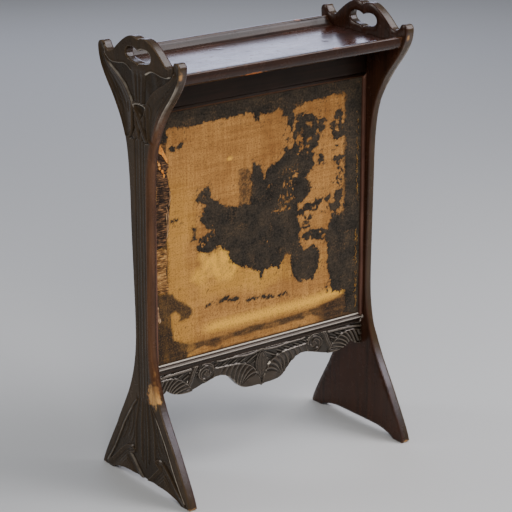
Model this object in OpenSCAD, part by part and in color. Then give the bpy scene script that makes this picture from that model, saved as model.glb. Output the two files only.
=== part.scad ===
// Fireplace screen: two carved plank uprights carry a tray-shaped shelf, a plain
// frieze, a stretched cloth panel and a carved apron. Every piece is modelled as it
// would come apart on a bench. X runs across the width, -Y is the front, Z = 0 is
// the floor, and the origin is midway between the four foot pads.

/* [Uprights] */
// Overall width over both uprights
overall_w = 645; // [600:5:700]
// Thickness of each upright plank, over the carving
plank_t = 22.5; // [21:0.5:25]
// How far the carving stands above its ground
relief = 3.5; // [2:0.5:4]
// Half of the foot's depth, front to back
foot_half = 172; // [156:2:176]
// Half of the waist's depth, front to back
waist_half = 24.5; // [22:0.5:25]
// How much fuller the shaft is behind the centre plane than in front of it
rear_full = 9; // [0:1:9]
// Half of the depth over the ears at the top
ear_half = 152; // [146:1:154]
// Height of the two humps over the hand hole
crest_z = 1037; // [1030:1:1038]
// Height of the arch between the foot pads
arch_h = 18; // [14:1:22]

/* [Shelf] */
// Height of the shelf's flat surface
shelf_z = 964; // [962:1:966]
// Thickness of the shelf board
shelf_t = 14; // [12:1:16]
// Half of the shelf's depth over both rims
shelf_half = 138; // [134:1:140]
// Height of the front rim above the shelf's surface
rim_h = 15; // [12:1:18]
// Height of the rear rim above the shelf's surface
rear_rim_h = 20; // [15:1:20]
// Width of each rim moulding
rim_w = 33; // [30:1:36]
// Depth of the housing that each shelf end sits in
housing_d = 6; // [4:1:8]

/* [Rails] */
// Distance of the frieze's front face from the centre plane
frieze_front = 16; // [15:1:17]
// Height of the frieze's lower edge
frieze_z = 875; // [870:1:878]
// Height of the bottom rail's upper edge
sill_z = 288; // [284:1:292]
// Height of the bottom rail
sill_h = 24; // [22:1:26]
// Distance of the bottom rail's back face from the centre plane
sill_back = 18; // [16:1:20]
// Length of the stub tenons
tenon_l = 15; // [12:1:16]

/* [Panel] */
// Width of the front beads
bead_w = 10; // [8:1:12]
// Width of the stretcher bars
bar_w = 38; // [34:1:44]
// Thickness of the stretcher bars
bar_t = 16; // [15:0.5:16]
// Thickness of each cloth
cloth_t = 0.8; // [0.6:0.1:0.8]
// Gap round the stretched panel
panel_gap = 1.2; // [1:0.1:2]
// Width of the rear fillets
fillet_w = 12; // [10:1:14]

/* [Apron] */
// Thickness of the apron behind its carving
apron_t = 15; // [13:1:17]
// Height of the apron's middle point
apron_tip_z = 172; // [170:1:178]

/* [Hidden] */
$fn = 32;

outer_x = overall_w / 2;
inner_x = outer_x - plank_t;
ground_x = outer_x - relief;
hair = 0.05;                       // clearance round every pin, dowel and screw
past = 1;                          // how far a cutter runs past the face it leaves

shelf_under = shelf_z - shelf_t;
board_half = shelf_half - rim_w;   // the shelf board meets the rims here
housing_top = shelf_z - 4;         // the housed tongue lies under a shoulder
edge_tongue = [8, 5];              // width and thickness of the board's edge tongue
edge_tongue_z = shelf_under + 4;
rim_dowel = [3, 24];               // radius and length of the dowels
rim_dowel_y = shelf_half - 10;
rim_dowel_z = shelf_z + 3;

frieze_back = 8;
tenon_t = 8;
frieze_tenon_y = -frieze_front + 7;
frieze_tenon_z = [frieze_z + 13, shelf_under - 12];
block = [40, 22, 22];
block_xs = [-210, -70, 70, 210];
screw_r = 2;
head_r = 4;
head_h = 2.2;

sill_front = 10;
sill_low = sill_z - sill_h;
sill_tenon_y = 1;
sill_tenon_z = [sill_low + 7, sill_z - 4];
slope_h = 8;                       // fall of the moulding's bevelled top
apron_front = 11;                  // front of the apron's ground
apron_back = apron_t - apron_front;
apron_tongue_y = [-6, 0];
apron_tongue_h = 6;
apron_dowel_r = 3;
apron_dowel_y = -3;
apron_dowel_zs = [sill_low - 38, sill_low - 16];

panel_x = inner_x - panel_gap;
panel_low = sill_z + panel_gap;
panel_top = frieze_z - panel_gap;
bead_t = 6;
face_y = -12;                      // front of the face cloth, where the beads press
ground_y = face_y + cloth_t;
bar_y = ground_y + cloth_t;
bar_back = bar_y + bar_t;
bar_x = panel_x - cloth_t;
bar_low = panel_low + cloth_t;
bar_top = panel_top - cloth_t;
flap_w = 24;                       // width of the cloth that is turned over the back
flap_back = bar_back + cloth_t;
lining_y = frieze_back - cloth_t;
pin_r = 0.75;
tack_r = 1;
tack_head = [3.2, 0.8];            // radius and thickness
side_pin_zs = [sill_z + 60, (sill_z + frieze_z) / 2, frieze_z - 60];
mid_xs = [-200, 0, 200];

fillet_back = 16;
fillet_y = (frieze_back + fillet_back) / 2;
top_fillet_z = [frieze_z - fillet_w, frieze_z + 20];
fillet_screw_z = frieze_z + 10;

// ---------------------------------------------------------------- shared helpers

// Points of a cubic curve, without its last point, so that curves can be chained.
function curve(a, b, c, d, n = 10) =
    [for (i = [0:n - 1]) let (t = i / n, u = 1 - t)
        u * u * u * a + 3 * u * u * t * b + 3 * u * t * t * c + t * t * t * d];

// Points of an arc, without its last point.
function arc(centre, r, from, to, n = 8) =
    [for (i = [0:n - 1]) let (w = from + (to - from) * i / n) centre + r * [cos(w), sin(w)]];

// A closed outline: the points, one last point on the axis, and the mirror image back again.
function mirrored_back(p, last) = concat(p, [last], mirrored(p, p[0][0] == 0 ? 1 : 0));

// The points mirrored over the axis, from the last one back to the one numbered first.
function mirrored(p, first = 0) = [for (i = [len(p) - 1:-1:first]) [-p[i][0], p[i][1]]];

// Stands a (y, z) drawing up, filling the stretch from x0 to x1.
module across(x0, x1) translate([x0, 0, 0]) rotate([90, 0, 90]) linear_extrude(x1 - x0) children();

// Stands an (x, z) drawing up, filling the stretch from y0 to y1.
module deep(y0, y1) translate([0, y1, 0]) rotate([90, 0, 0]) linear_extrude(y1 - y0) children();

// A box given by its lowest and highest corners.
module box(low, high) translate(low) cube(high - low);

// Round pegs along X, Y and Z.
module peg_x(x0, x1, y, z, r) translate([x0, y, z]) rotate([0, 90, 0]) cylinder(h = x1 - x0, r = r);
module peg_y(y0, y1, x, z, r) translate([x, y1, z]) rotate([90, 0, 0]) cylinder(h = y1 - y0, r = r);
module peg_z(z0, z1, x, y, r) translate([x, y, z0]) cylinder(h = z1 - z0, r = r);

// The same shape on the right and on the left.
module pair_x() {
    children();
    mirror([1, 0, 0]) children();
}

// ---------------------------------------------------------------- uprights

// Half of the plank's outline: foot, shin, shaft, flare, rolled ear and crest. The shaft is
// wider by fuller, and the waist and the flare by a part of it.
function upright_half(fuller) = concat(
    curve([58, arch_h], [92, arch_h], [foot_half - 48, 10], [foot_half - 36, 0], 8),
    [[foot_half - 36, 0], [foot_half - 4, 0]],
    curve([foot_half, 4], [foot_half - 5, 24], [foot_half - 27, 62], [foot_half - 63, 124]),
    curve([foot_half - 63, 124], [77 + fuller, 178], [waist_half + fuller * 0.4, 240],
          [waist_half + fuller * 0.4, 370]),
    curve([waist_half + fuller * 0.4, 370], [waist_half + fuller * 0.5, 460],
          [waist_half + 4 + fuller, 560], [waist_half + 5.5 + fuller, 670], 8),
    curve([waist_half + 5.5 + fuller, 670], [waist_half + 6.5 + fuller, 716],
          [35 + fuller, 768], [46 + fuller * 0.6, 801], 8),
    curve([46 + fuller * 0.6, 801], [56 + fuller * 0.4, 836], [80 + fuller * 0.4, 878],
          [ear_half - 42 + fuller * 0.25, 912]),
    curve([ear_half - 42 + fuller * 0.25, 912], [ear_half - 22 + fuller * 0.25, 937],
          [ear_half, 962], [ear_half, 993], 8),
    arc([ear_half - 12, 995], 12, 0, 150, 10),
    curve([ear_half - 23, 999], [ear_half - 30, 987], [106, 985], [96, 994], 6),
    curve([96, 994], [80, 1008], [46, crest_z], [23, crest_z]),
    curve([23, crest_z], [12, crest_z], [4, crest_z - 2], [0, crest_z - 7], 5));

module upright_outline() polygon(concat(
    upright_half(rear_full), [[0, crest_z - 7]], mirrored(upright_half(0))));

// Hand hole: two lobes above, and a point that droops below the middle.
module hand_hole() polygon(mirrored_back(concat(
    curve([0, 976], [6, 984], [24, 981], [38, 986], 8),
    curve([38, 986], [50, 990], [51, 1004], [40, 1010], 8),
    curve([40, 1010], [30, 1015], [10, 1014], [0, 1007], 8)), [0, 1007]));

// Smooth cap left standing round the hand hole.
module cap_area() polygon(mirrored_back(concat(
    [[0, 966]],
    curve([30, 965], [60, 973], [84, 970], [100, 967], 6),
    curve([100, 967], [128, 974], [140, 984], [152, 1000], 8),
    [[160, 1000]]), [0, crest_z + 60]));

// One large leaf of the fan under the cap.
module fan_leaf() polygon(concat(
    curve([146, 972], [112, 958], [62, 940], [24, 889], 12),
    curve([24, 889], [27, 860], [28, 836], [36, 812], 6),
    [[36, 812], [60, 812], [160, 960]]));

// One curled leaf of the foot.
module foot_leaf() polygon(concat(
    curve([10, 24], [20, 60], [36, 84], [60, 84], 8),
    curve([60, 84], [92, 78], [104, 44], [144, 18], 8),
    [[100, 24], [60, 30]]));

// The plain band along the leg's edge, outside the sunk field of the foot.
module foot_band() polygon(concat(
    curve([33, 200], [66, 150], [96, 92], [148, 12], 10),
    [[150, -2], [180, -2], [180, 60], [60, 240], [33, 240]]));

// Plan of the raised carving on the outer face.
module raised_areas() {
    cap_area();
    for (s = [0, 1]) mirror([s, 0, 0]) {
        fan_leaf();
        foot_leaf();
        foot_band();
        translate([waist_half - 10, 100]) square([4, 712]);
    }
    translate([-3, 64]) square([6, 829]);
}

module upright() difference() {
    union() {
        across(inner_x, ground_x) upright_outline();
        across(ground_x - past, outer_x) intersection() {
            upright_outline();
            raised_areas();
        }
    }
    across(inner_x - past, outer_x + past) hand_hole();
    box([inner_x - past, -board_half, shelf_under],
        [inner_x + housing_d, board_half, housing_top]);
    box([inner_x - past, frieze_tenon_y, frieze_tenon_z[0]],
        [inner_x + tenon_l, frieze_tenon_y + tenon_t, frieze_tenon_z[1]]);
    box([inner_x - past, sill_tenon_y, sill_tenon_z[0]],
        [inner_x + tenon_l, sill_tenon_y + tenon_t, sill_tenon_z[1]]);
    rim_dowel_pair(hair);
    apron_dowel_pair(hair);
    side_pins(bead_pin_y, hair);
    side_pins(fillet_y, hair);
}

module right_upright() color([0.17, 0.14, 0.11]) upright();
module left_upright() color([0.17, 0.14, 0.11]) mirror([1, 0, 0]) upright();

// ---------------------------------------------------------------- shelf

// Section of the rear rim: a cove inside, a rounded lip, and a full round under it.
module rim_section(rim_z) difference() {
    polygon(concat(
        [[board_half, shelf_under]],
        arc([shelf_half - 16, shelf_under + 16], 16, -90, 0, 8),
        arc([shelf_half - 3, rim_z - 3], 3, 0, 90, 4),
        arc([board_half + rim_w - 9, rim_z - 3], 3, 90, 150, 3),
        curve([board_half + rim_w - 12, rim_z - 4], [board_half + 15, shelf_z + 5],
              [board_half + 8, shelf_z], [board_half, shelf_z], 8),
        [[board_half, shelf_z]]));
    translate([board_half - past, edge_tongue_z]) square([edge_tongue[0] + past, edge_tongue[1]]);
}

// The two dowels that pin the rims' ends to the right upright.
module rim_dowel_pair(gap = 0) for (s = [-1, 1])
    peg_x(inner_x - rim_dowel[1] / 2, inner_x + rim_dowel[1] / 2, s * rim_dowel_y, rim_dowel_z,
          rim_dowel[0] + gap);

module rim(height) difference() {
    across(-inner_x, inner_x) rim_section(shelf_z + height);
    pair_x() rim_dowel_pair(hair);
}

module shelf_rear_rim() color([0.22, 0.14, 0.11]) rim(rear_rim_h);
module shelf_front_rim() color([0.22, 0.14, 0.11]) mirror([0, 1, 0]) rim(rim_h);
module rim_dowels() color([0.72, 0.58, 0.4]) pair_x() rim_dowel_pair();

module shelf_board() color([0.25, 0.17, 0.13]) difference() {
    union() {
        box([-inner_x, -board_half, shelf_under], [inner_x, board_half, shelf_z]);
        box([-inner_x - housing_d, -board_half, shelf_under],
            [inner_x + housing_d, board_half, housing_top]);
        box([-inner_x, -board_half - edge_tongue[0], edge_tongue_z],
            [inner_x, board_half + edge_tongue[0], edge_tongue_z + edge_tongue[1]]);
    }
    shelf_screw_row(hair);
}

// ---------------------------------------------------------------- frieze and glue blocks

module frieze_rail() color([0.16, 0.12, 0.1]) difference() {
    union() {
        box([-inner_x, -frieze_front, frieze_z], [inner_x, frieze_back, shelf_under]);
        box([-inner_x - tenon_l, frieze_tenon_y, frieze_tenon_z[0]],
            [inner_x + tenon_l, frieze_tenon_y + tenon_t, frieze_tenon_z[1]]);
    }
    frieze_bead_pins(hair);
    fillet_screw_row(hair);
}

// One countersunk screw along +Z, head down at the origin.
module screw(length, gap = 0) {
    cylinder(h = head_h, r1 = head_r + gap, r2 = screw_r + gap);
    cylinder(h = length + gap, r = screw_r + gap);
}

module shelf_screw_row(gap = 0) for (x = block_xs)
    translate([x, frieze_back + block[1] / 2, shelf_under - block[2]])
        screw(block[2] + shelf_t - 5, gap);

// Rubbed-in blocks behind the frieze, which the shelf is screwed through.
module glue_blocks() color([0.6, 0.45, 0.3]) difference() {
    for (x = block_xs) translate([x - block[0] / 2, frieze_back, shelf_under - block[2]]) cube(block);
    shelf_screw_row(hair);
}

module shelf_screws() color([0.45, 0.42, 0.38]) shelf_screw_row();

// ---------------------------------------------------------------- beads round the panel

bead_pin_y = face_y - bead_t / 2;
bead_pin_in = 7;
bead_pin_out = 9;

// Pins from a bead or a fillet into the right upright, at the depth y.
module side_pins(y, gap = 0) for (z = side_pin_zs)
    peg_x(inner_x - bead_pin_in, inner_x + bead_pin_out, y, z, pin_r + gap);

module frieze_bead_pins(gap = 0) for (x = mid_xs)
    peg_z(frieze_z - bead_pin_in, frieze_z + bead_pin_out, x, face_y - 2, pin_r + gap);

// Section of a bead: across from its seat, and forward from the cloth.
module bead_section() polygon(concat(
    [[0, 0]],
    curve([bead_w, 0], [bead_w, 4], [bead_w - 1, bead_t], [bead_w / 2, bead_t], 8),
    curve([bead_w / 2, bead_t], [2, bead_t], [0, bead_t - 1], [0, bead_t - 2], 5)));

// Mitred plan of the right bead and of the top bead.
module side_bead_plan() polygon([[inner_x, sill_z - slope_h], [inner_x, frieze_z],
    [inner_x - bead_w, frieze_z - bead_w], [inner_x - bead_w, sill_z - slope_h]]);
module top_bead_plan() polygon([[-inner_x, frieze_z], [inner_x, frieze_z],
    [inner_x - bead_w, frieze_z - bead_w], [-inner_x + bead_w, frieze_z - bead_w]]);

module side_bead() difference() {
    intersection() {
        translate([inner_x, face_y, sill_z - slope_h])
            linear_extrude(frieze_z - sill_z + slope_h) rotate(180) bead_section();
        deep(face_y - bead_t - past, face_y + past) side_bead_plan();
    }
    across(0, outer_x) polygon([[face_y + past, sill_z], [face_y, sill_z],
        [face_y - slope_h, sill_z - slope_h], [face_y - slope_h, sill_z - 2 * slope_h],
        [face_y + past, sill_z - 2 * slope_h]]);
    side_pins(bead_pin_y, hair);
}

module right_bead() color([0.33, 0.22, 0.18]) side_bead();
module left_bead() color([0.33, 0.22, 0.18]) mirror([1, 0, 0]) side_bead();

module frieze_bead() color([0.2, 0.13, 0.1]) difference() {
    intersection() {
        translate([0, face_y, frieze_z])
            across(-inner_x, inner_x) mirror([1, 0, 0]) rotate(-90) bead_section();
        deep(face_y - bead_t - past, face_y + past) top_bead_plan();
    }
    frieze_bead_pins(hair);
}

module bead_pins() color([0.4, 0.38, 0.35]) {
    pair_x() side_pins(bead_pin_y);
    frieze_bead_pins();
}

// ---------------------------------------------------------------- bottom rail and moulding

module bottom_rail() color([0.16, 0.12, 0.1]) difference() {
    union() {
        box([-inner_x, -sill_front, sill_low], [inner_x, sill_back, sill_z]);
        box([-inner_x - tenon_l, sill_tenon_y, sill_tenon_z[0]],
            [inner_x + tenon_l, sill_tenon_y + tenon_t, sill_tenon_z[1]]);
    }
    box([-inner_x - past, apron_tongue_y[0], sill_low - past],
        [inner_x + past, apron_tongue_y[1], sill_low + apron_tongue_h]);
    moulding_pin_row(hair);
    bottom_fillet_pins(hair);
}

// Section of the moulding: a bevelled top, two fine beads, and a cove under them.
module moulding_section() polygon(concat(
    [[-sill_front, sill_low], [-sill_front, sill_z], [face_y, sill_z]],
    arc([face_y - slope_h + 1, sill_z - slope_h - 1.5], 1.6, 120, 250, 6),
    arc([face_y - slope_h + 2.4, sill_z - slope_h - 4.2], 1.5, 120, 270, 6),
    curve([face_y - 4.5, sill_z - slope_h - 6], [face_y - 1, sill_z - slope_h - 8],
          [face_y, sill_low + 6], [face_y, sill_low + 3], 6),
    [[face_y, sill_low]]));

module moulding_pin_row(gap = 0) for (x = mid_xs)
    peg_y(face_y + 0.5, 3, x, sill_low + 3.5, pin_r + gap);

module bottom_moulding() color([0.3, 0.2, 0.16]) difference() {
    across(-inner_x, inner_x) moulding_section();
    moulding_pin_row(hair);
}

module moulding_pins() color([0.4, 0.38, 0.35]) moulding_pin_row();

// ---------------------------------------------------------------- carved apron

// Right half of the apron's lower edge, from the middle point to the bracket at the upright.
function apron_edge() = concat(
    curve([0, apron_tip_z], [5, apron_tip_z + 9], [30, 173], [52, 180], 8),
    curve([52, 180], [70, 186], [76, 202], [88, 211], 8),
    curve([88, 211], [98, 219], [106, 225], [120, 225], 8),
    curve([120, 225], [156, 225], [178, 205], [212, 205], 10),
    curve([212, 205], [240, 205], [258, 212], [268, 225], 8),
    curve([268, 225], [272, 217], [284, 210], [inner_x, 209], 6),
    [[inner_x, 209]]);

module apron_outline() polygon(mirrored_back(concat(apron_edge(), [[inner_x, sill_low]]),
    [0, sill_low]));

// Leaves of the right half: the middle blade's side, the wide leaf, the scroll, the end leaf.
module apron_leaves() {
    polygon(concat(curve([0, 189], [14, 202], [24, 232], [0, 262], 12), [[0, 262]]));
    polygon(concat(curve([17, 205], [24, 226], [44, 243], [130, 245], 10),
        curve([130, 245], [110, 226], [90, 222], [74, 208], 6),
        curve([74, 208], [58, 192], [36, 186], [17, 205], 6)));
    translate([155, 241]) circle(r = 22);
    polygon(concat(curve([200, 214], [222, 240], [250, 252], [292, 246], 10),
        curve([292, 246], [268, 240], [256, 216], [200, 214], 8)));
}

module carved_apron() color([0.16, 0.13, 0.1]) difference() {
    union() {
        deep(-apron_front, apron_back) apron_outline();
        deep(-apron_front - relief, -apron_front + past) intersection() {
            apron_outline();
            for (s = [0, 1]) mirror([s, 0, 0]) apron_leaves();
        }
        box([-inner_x, apron_tongue_y[0], sill_low - past],
            [inner_x, apron_tongue_y[1], sill_low + apron_tongue_h]);
    }
    pair_x() apron_dowel_pair(hair);
}

module apron_dowel_pair(gap = 0) for (z = apron_dowel_zs)
    peg_x(inner_x - rim_dowel[1] / 2, inner_x + rim_dowel[1] / 2, apron_dowel_y, z,
          apron_dowel_r + gap);

module apron_dowels() color([0.72, 0.58, 0.4]) pair_x() apron_dowel_pair();

// ---------------------------------------------------------------- stretcher

// The top and bottom bars lap in front of the side bars at every corner.
lap_y = bar_y + bar_t / 2;

module level_bar(low) difference() {
    box([-bar_x, bar_y, low], [bar_x, bar_back, low + bar_w]);
    pair_x() box([bar_x - bar_w, lap_y, low - past], [bar_x + past, bar_back + past, low + bar_w + past]);
    stretcher_nail_set(hair);
    cloth_tack_set(hair);
    lining_tack_set(hair);
}

module side_bar() difference() {
    box([bar_x - bar_w, bar_y, bar_low], [bar_x, bar_back, bar_top]);
    for (z = [bar_low - past, bar_top - bar_w])
        box([bar_x - bar_w - past, bar_y - past, z], [bar_x + past, lap_y, z + bar_w + past]);
    stretcher_nail_set(hair);
    cloth_tack_set(hair);
    lining_tack_set(hair);
}

// Two clench nails through each lapped corner.
module stretcher_nail_set(gap = 0) pair_x() for (z = [bar_low, bar_top - bar_w], s = [10, bar_w - 10])
    peg_y(bar_y + 3, bar_back, bar_x - bar_w + s, z + bar_w - s, 1.2 + gap);

module stretcher_top_bar() color([0.66, 0.52, 0.36]) level_bar(bar_top - bar_w);
module stretcher_bottom_bar() color([0.66, 0.52, 0.36]) level_bar(bar_low);
module stretcher_right_bar() color([0.66, 0.52, 0.36]) side_bar();
module stretcher_left_bar() color([0.66, 0.52, 0.36]) mirror([1, 0, 0]) side_bar();
module stretcher_nails() color([0.4, 0.38, 0.35]) stretcher_nail_set();

// ---------------------------------------------------------------- cloths

tack_gap = 80;
tack_in = 14;                      // the cloth tacks stand this far in from the panel's edge
lining_in = 30;                    // the lining tacks stand further in, clear of the fillets

// Headed tacks driven forward along two level and two upright lines.
module tack_ring(inset, under, gap = 0) {
    half = panel_x - inset;
    low = panel_low + inset;
    high = panel_top - inset;
    across_n = round(2 * half / tack_gap);
    up_n = round((high - low) / tack_gap);
    for (i = [0:across_n - 1], z = [low, high])
        tack(-half + (i + 0.5) * 2 * half / across_n, z, under, gap);
    for (i = [0:up_n - 1], x = [-half, half]) tack(x, low + (i + 0.5) * (high - low) / up_n, under, gap);
}

module tack(x, z, under, gap = 0) {
    peg_y(under - 7, under + tack_head[1] / 2, x, z, tack_r + gap);
    peg_y(under, under + tack_head[1], x, z, tack_head[0] + gap);
}

module cloth_tack_set(gap = 0) tack_ring(tack_in, flap_back, gap);
module lining_tack_set(gap = 0) tack_ring(lining_in, frieze_back, gap);

// The ground cloth covers the front, turns round the bars, and is tacked behind.
module ground_cloth() color([0.69, 0.5, 0.26]) difference() {
    box([-panel_x, ground_y, panel_low], [panel_x, flap_back, panel_top]);
    box([-bar_x, bar_y, bar_low], [bar_x, bar_back, bar_top]);
    box([-panel_x + flap_w, bar_back - past, panel_low + flap_w],
        [panel_x - flap_w, flap_back + past, panel_top - flap_w]);
    cloth_tack_set(hair);
}

module face_cloth() color([0.19, 0.17, 0.16])
    box([-panel_x, face_y, panel_low], [panel_x, ground_y, panel_top]);

module back_lining() color([0.42, 0.36, 0.28]) difference() {
    box([-panel_x, lining_y, panel_low], [panel_x, frieze_back, panel_top]);
    lining_tack_set(hair);
}

module cloth_tacks() color([0.2, 0.19, 0.18]) cloth_tack_set();
module lining_tacks() color([0.2, 0.19, 0.18]) lining_tack_set();

// ---------------------------------------------------------------- rear fillets

module fillet_screw_row(gap = 0) for (x = mid_xs)
    translate([x, fillet_back, fillet_screw_z]) rotate([90, 0, 0]) screw(fillet_back + 5, gap);

module bottom_fillet_pins(gap = 0) for (x = mid_xs)
    peg_z(sill_z - bead_pin_out, sill_z + bead_pin_in, x, fillet_y, pin_r + gap);

module rear_top_fillet() color([0.3, 0.22, 0.16]) difference() {
    box([-inner_x, frieze_back, top_fillet_z[0]], [inner_x, fillet_back, top_fillet_z[1]]);
    fillet_screw_row(hair);
}

module rear_bottom_fillet() color([0.3, 0.22, 0.16]) difference() {
    box([-inner_x, frieze_back, sill_z], [inner_x, fillet_back, sill_z + fillet_w]);
    bottom_fillet_pins(hair);
}

module side_fillet() difference() {
    box([inner_x - fillet_w, frieze_back, sill_z + fillet_w], [inner_x, fillet_back, top_fillet_z[0]]);
    side_pins(fillet_y, hair);
}

module rear_right_fillet() color([0.3, 0.22, 0.16]) side_fillet();
module rear_left_fillet() color([0.3, 0.22, 0.16]) mirror([1, 0, 0]) side_fillet();
module fillet_screws() color([0.45, 0.42, 0.38]) fillet_screw_row();

module fillet_pins() color([0.4, 0.38, 0.35]) {
    pair_x() side_pins(fillet_y);
    bottom_fillet_pins();
}

// ---------------------------------------------------------------- what is drawn

left_upright();
right_upright();
shelf_board();
shelf_front_rim();
shelf_rear_rim();
rim_dowels();
frieze_rail();
glue_blocks();
shelf_screws();
frieze_bead();
left_bead();
right_bead();
bead_pins();
bottom_rail();
bottom_moulding();
moulding_pins();
carved_apron();
apron_dowels();
stretcher_top_bar();
stretcher_bottom_bar();
stretcher_left_bar();
stretcher_right_bar();
stretcher_nails();
ground_cloth();
face_cloth();
cloth_tacks();
back_lining();
lining_tacks();
rear_top_fillet();
rear_bottom_fillet();
rear_left_fillet();
rear_right_fillet();
fillet_screws();
fillet_pins();
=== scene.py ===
import math

import bpy
import bmesh
import numpy as np
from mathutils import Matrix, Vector
from mathutils.geometry import delaunay_2d_cdt


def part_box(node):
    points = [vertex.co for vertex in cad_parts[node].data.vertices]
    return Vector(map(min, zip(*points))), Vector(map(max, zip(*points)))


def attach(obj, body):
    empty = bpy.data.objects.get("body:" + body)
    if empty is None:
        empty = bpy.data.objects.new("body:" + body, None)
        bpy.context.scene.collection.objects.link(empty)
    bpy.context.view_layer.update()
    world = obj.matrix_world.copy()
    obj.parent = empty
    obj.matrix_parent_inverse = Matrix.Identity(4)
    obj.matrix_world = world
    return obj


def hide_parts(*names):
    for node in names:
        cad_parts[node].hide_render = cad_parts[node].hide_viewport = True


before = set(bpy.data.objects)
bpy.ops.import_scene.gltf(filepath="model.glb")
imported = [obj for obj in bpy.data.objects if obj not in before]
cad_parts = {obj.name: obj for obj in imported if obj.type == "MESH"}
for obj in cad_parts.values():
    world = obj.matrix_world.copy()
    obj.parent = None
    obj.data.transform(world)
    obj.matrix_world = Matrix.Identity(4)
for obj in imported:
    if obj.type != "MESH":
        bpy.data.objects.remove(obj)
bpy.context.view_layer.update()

MM = 0.001

# ------------------------------------------------------------------ sizes from the frame, in mm


def corners_mm(node):
    """The lowest and the highest corner of a node's box."""
    low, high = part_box(node)
    return np.array(low) / MM, np.array(high) / MM


(INNER_X, _, _), (OUTER_X, FOOT_HALF, CREST_Z) = corners_mm("right_upright")
(_, _, SHELF_UNDER), (_, _, SHELF_Z) = corners_mm("shelf_board")
(_, BOARD_HALF, _), (_, SHELF_HALF, REAR_RIM_Z) = corners_mm("shelf_rear_rim")
FRONT_RIM_Z = corners_mm("shelf_front_rim")[1][2]
(_, FRIEZE_Y, FRIEZE_Z), (_, FRIEZE_REAR_Y, _) = corners_mm("frieze_rail")
(_, _, SILL_UNDER), (_, SILL_REAR_Y, SILL_Z) = corners_mm("bottom_rail")
MOULD_REAR_Y = corners_mm("bottom_moulding")[1][1]
(_, APRON_Y, APRON_UNDER), (_, APRON_REAR_Y, _) = corners_mm("carved_apron")
(_, GROUND_Y, PANEL_LOW), (PANEL_X, FLAP_Y, PANEL_TOP) = corners_mm("ground_cloth")
FACE_Y = corners_mm("face_cloth")[0][1]
BEAD_W, BEAD_T, _ = np.subtract(*corners_mm("right_bead")[::-1])

# sizes that the boxes don't tell
WAIST_HALF = 24.5  # half the width of an upright at its waist
EAR_HALF = 152.0  # half the width over its ears
REAR_FULL = 9.0  # how much further the shaft stands out behind than in front
ARCH_H = 18.0  # height of the arch between the feet
SLOPE_H = 8.0  # height and depth of the bevel on the bottom moulding
CLOTH_T = 0.7  # thickness of the ground cloth
FLAP_W = 24.0  # width of the ground cloth's turned-over flap

FAR = 1e9  # further than any point
FALLS = -9  # lower than any carving, where a carved form isn't

# ------------------------------------------------------------------ plane curves and distances


def curve(a, b, c, d, n=24):
    """Points of a cubic curve, without its last point, so that curves can be chained."""
    t = np.linspace(0, 1, n, endpoint=False)[:, None]
    a, b, c, d = (np.array(p, float) for p in (a, b, c, d))
    return (1 - t) ** 3 * a + 3 * (1 - t) ** 2 * t * b + 3 * (1 - t) * t**2 * c + t**3 * d


def arc(centre, r, start, end, n=14):
    """Points of an arc, without its last point."""
    w = np.radians(np.linspace(start, end, n, endpoint=False))
    return np.array(centre, float) + r * np.stack([np.cos(w), np.sin(w)], -1)


def chain(*parts):
    """One line of points from several parts, each a line or a single point."""
    return np.concatenate([np.atleast_2d(np.array(p, float)) for p in parts])


def path(start, *curves):
    """Cubic curves one after another, each given as its two handles and its end."""
    parts = []
    for handle, other_handle, end in curves:
        parts.append(curve(start, handle, other_handle, end))
        start = end
    return chain(*parts, start)


def ring(loop):
    """A closed outline as an open line that returns to its first point."""
    return np.concatenate([loop, loop[:1]])


def mirrored(line):
    return np.array(line) * [-1, 1]


def resample(line, step):
    """The open line at about even steps, with its sharp corners kept."""
    line = line[np.r_[True, np.linalg.norm(np.diff(line, axis=0), axis=1) > 1e-6]]
    way = np.diff(line, axis=0)
    way /= np.linalg.norm(way, axis=1)[:, None]
    sharp = np.flatnonzero((way[1:] * way[:-1]).sum(1) < math.cos(math.radians(22))) + 1
    stops = [0, *sharp, len(line) - 1]
    out = []
    for i, j in zip(stops[:-1], stops[1:]):
        part = line[i : j + 1]
        along = np.r_[0, np.cumsum(np.linalg.norm(np.diff(part, axis=0), axis=1))]
        at = np.linspace(0, along[-1], max(2, int(round(along[-1] / step)) + 1))[:-1]
        out.append(np.stack([np.interp(at, along, part[:, k]) for k in (0, 1)], -1))
    return np.concatenate(out + [line[-1:]])


def closed(loop, step):
    """The closed outline at about even steps, with its sharp corners kept."""
    return resample(ring(loop), step)[:-1]


def line_distance(points, line):
    """(distance to the nearest place on an open line, how far along the line that place is)."""
    best = np.full(len(points), FAR)
    along = np.zeros(len(points))
    start = 0.0
    for a, b in zip(line[:-1], line[1:]):
        ab = b - a
        length = math.hypot(*ab)
        if length < 1e-9:
            continue
        t = np.clip(((points - a) @ ab) / length**2, 0, 1)
        d = np.hypot(*(points - a - t[:, None] * ab).T)
        near = d < best
        best[near] = d[near]
        along[near] = (start + t * length)[near]
        start += length
    return best, along


def distance(points, line):
    return line_distance(points, line)[0]


def nearest(points, lines):
    """Distance to the nearest of several open lines."""
    return np.min([distance(points, line) for line in lines], axis=0)


def inside(points, loop):
    """Whether each point is inside a closed outline."""
    hit = np.zeros(len(points), bool)
    x, y = points.T
    for (x0, y0), (x1, y1) in zip(loop, np.roll(loop, -1, axis=0)):
        if y0 == y1:
            continue
        cross = (y0 > y) != (y1 > y)
        hit ^= cross & (x < (x1 - x0) * (y - y0) / (y1 - y0) + x0)
    return hit


def within(points, loops):
    """Whether each point is inside the first loop and in none of the others, which are holes."""
    found = inside(points, loops[0])
    for hole in loops[1:]:
        found &= ~inside(points, hole)
    return found


def signed(points, loop):
    """Distance to a closed outline, positive inside it."""
    d = distance(points, ring(loop))
    return np.where(inside(points, loop), d, -d)


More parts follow.
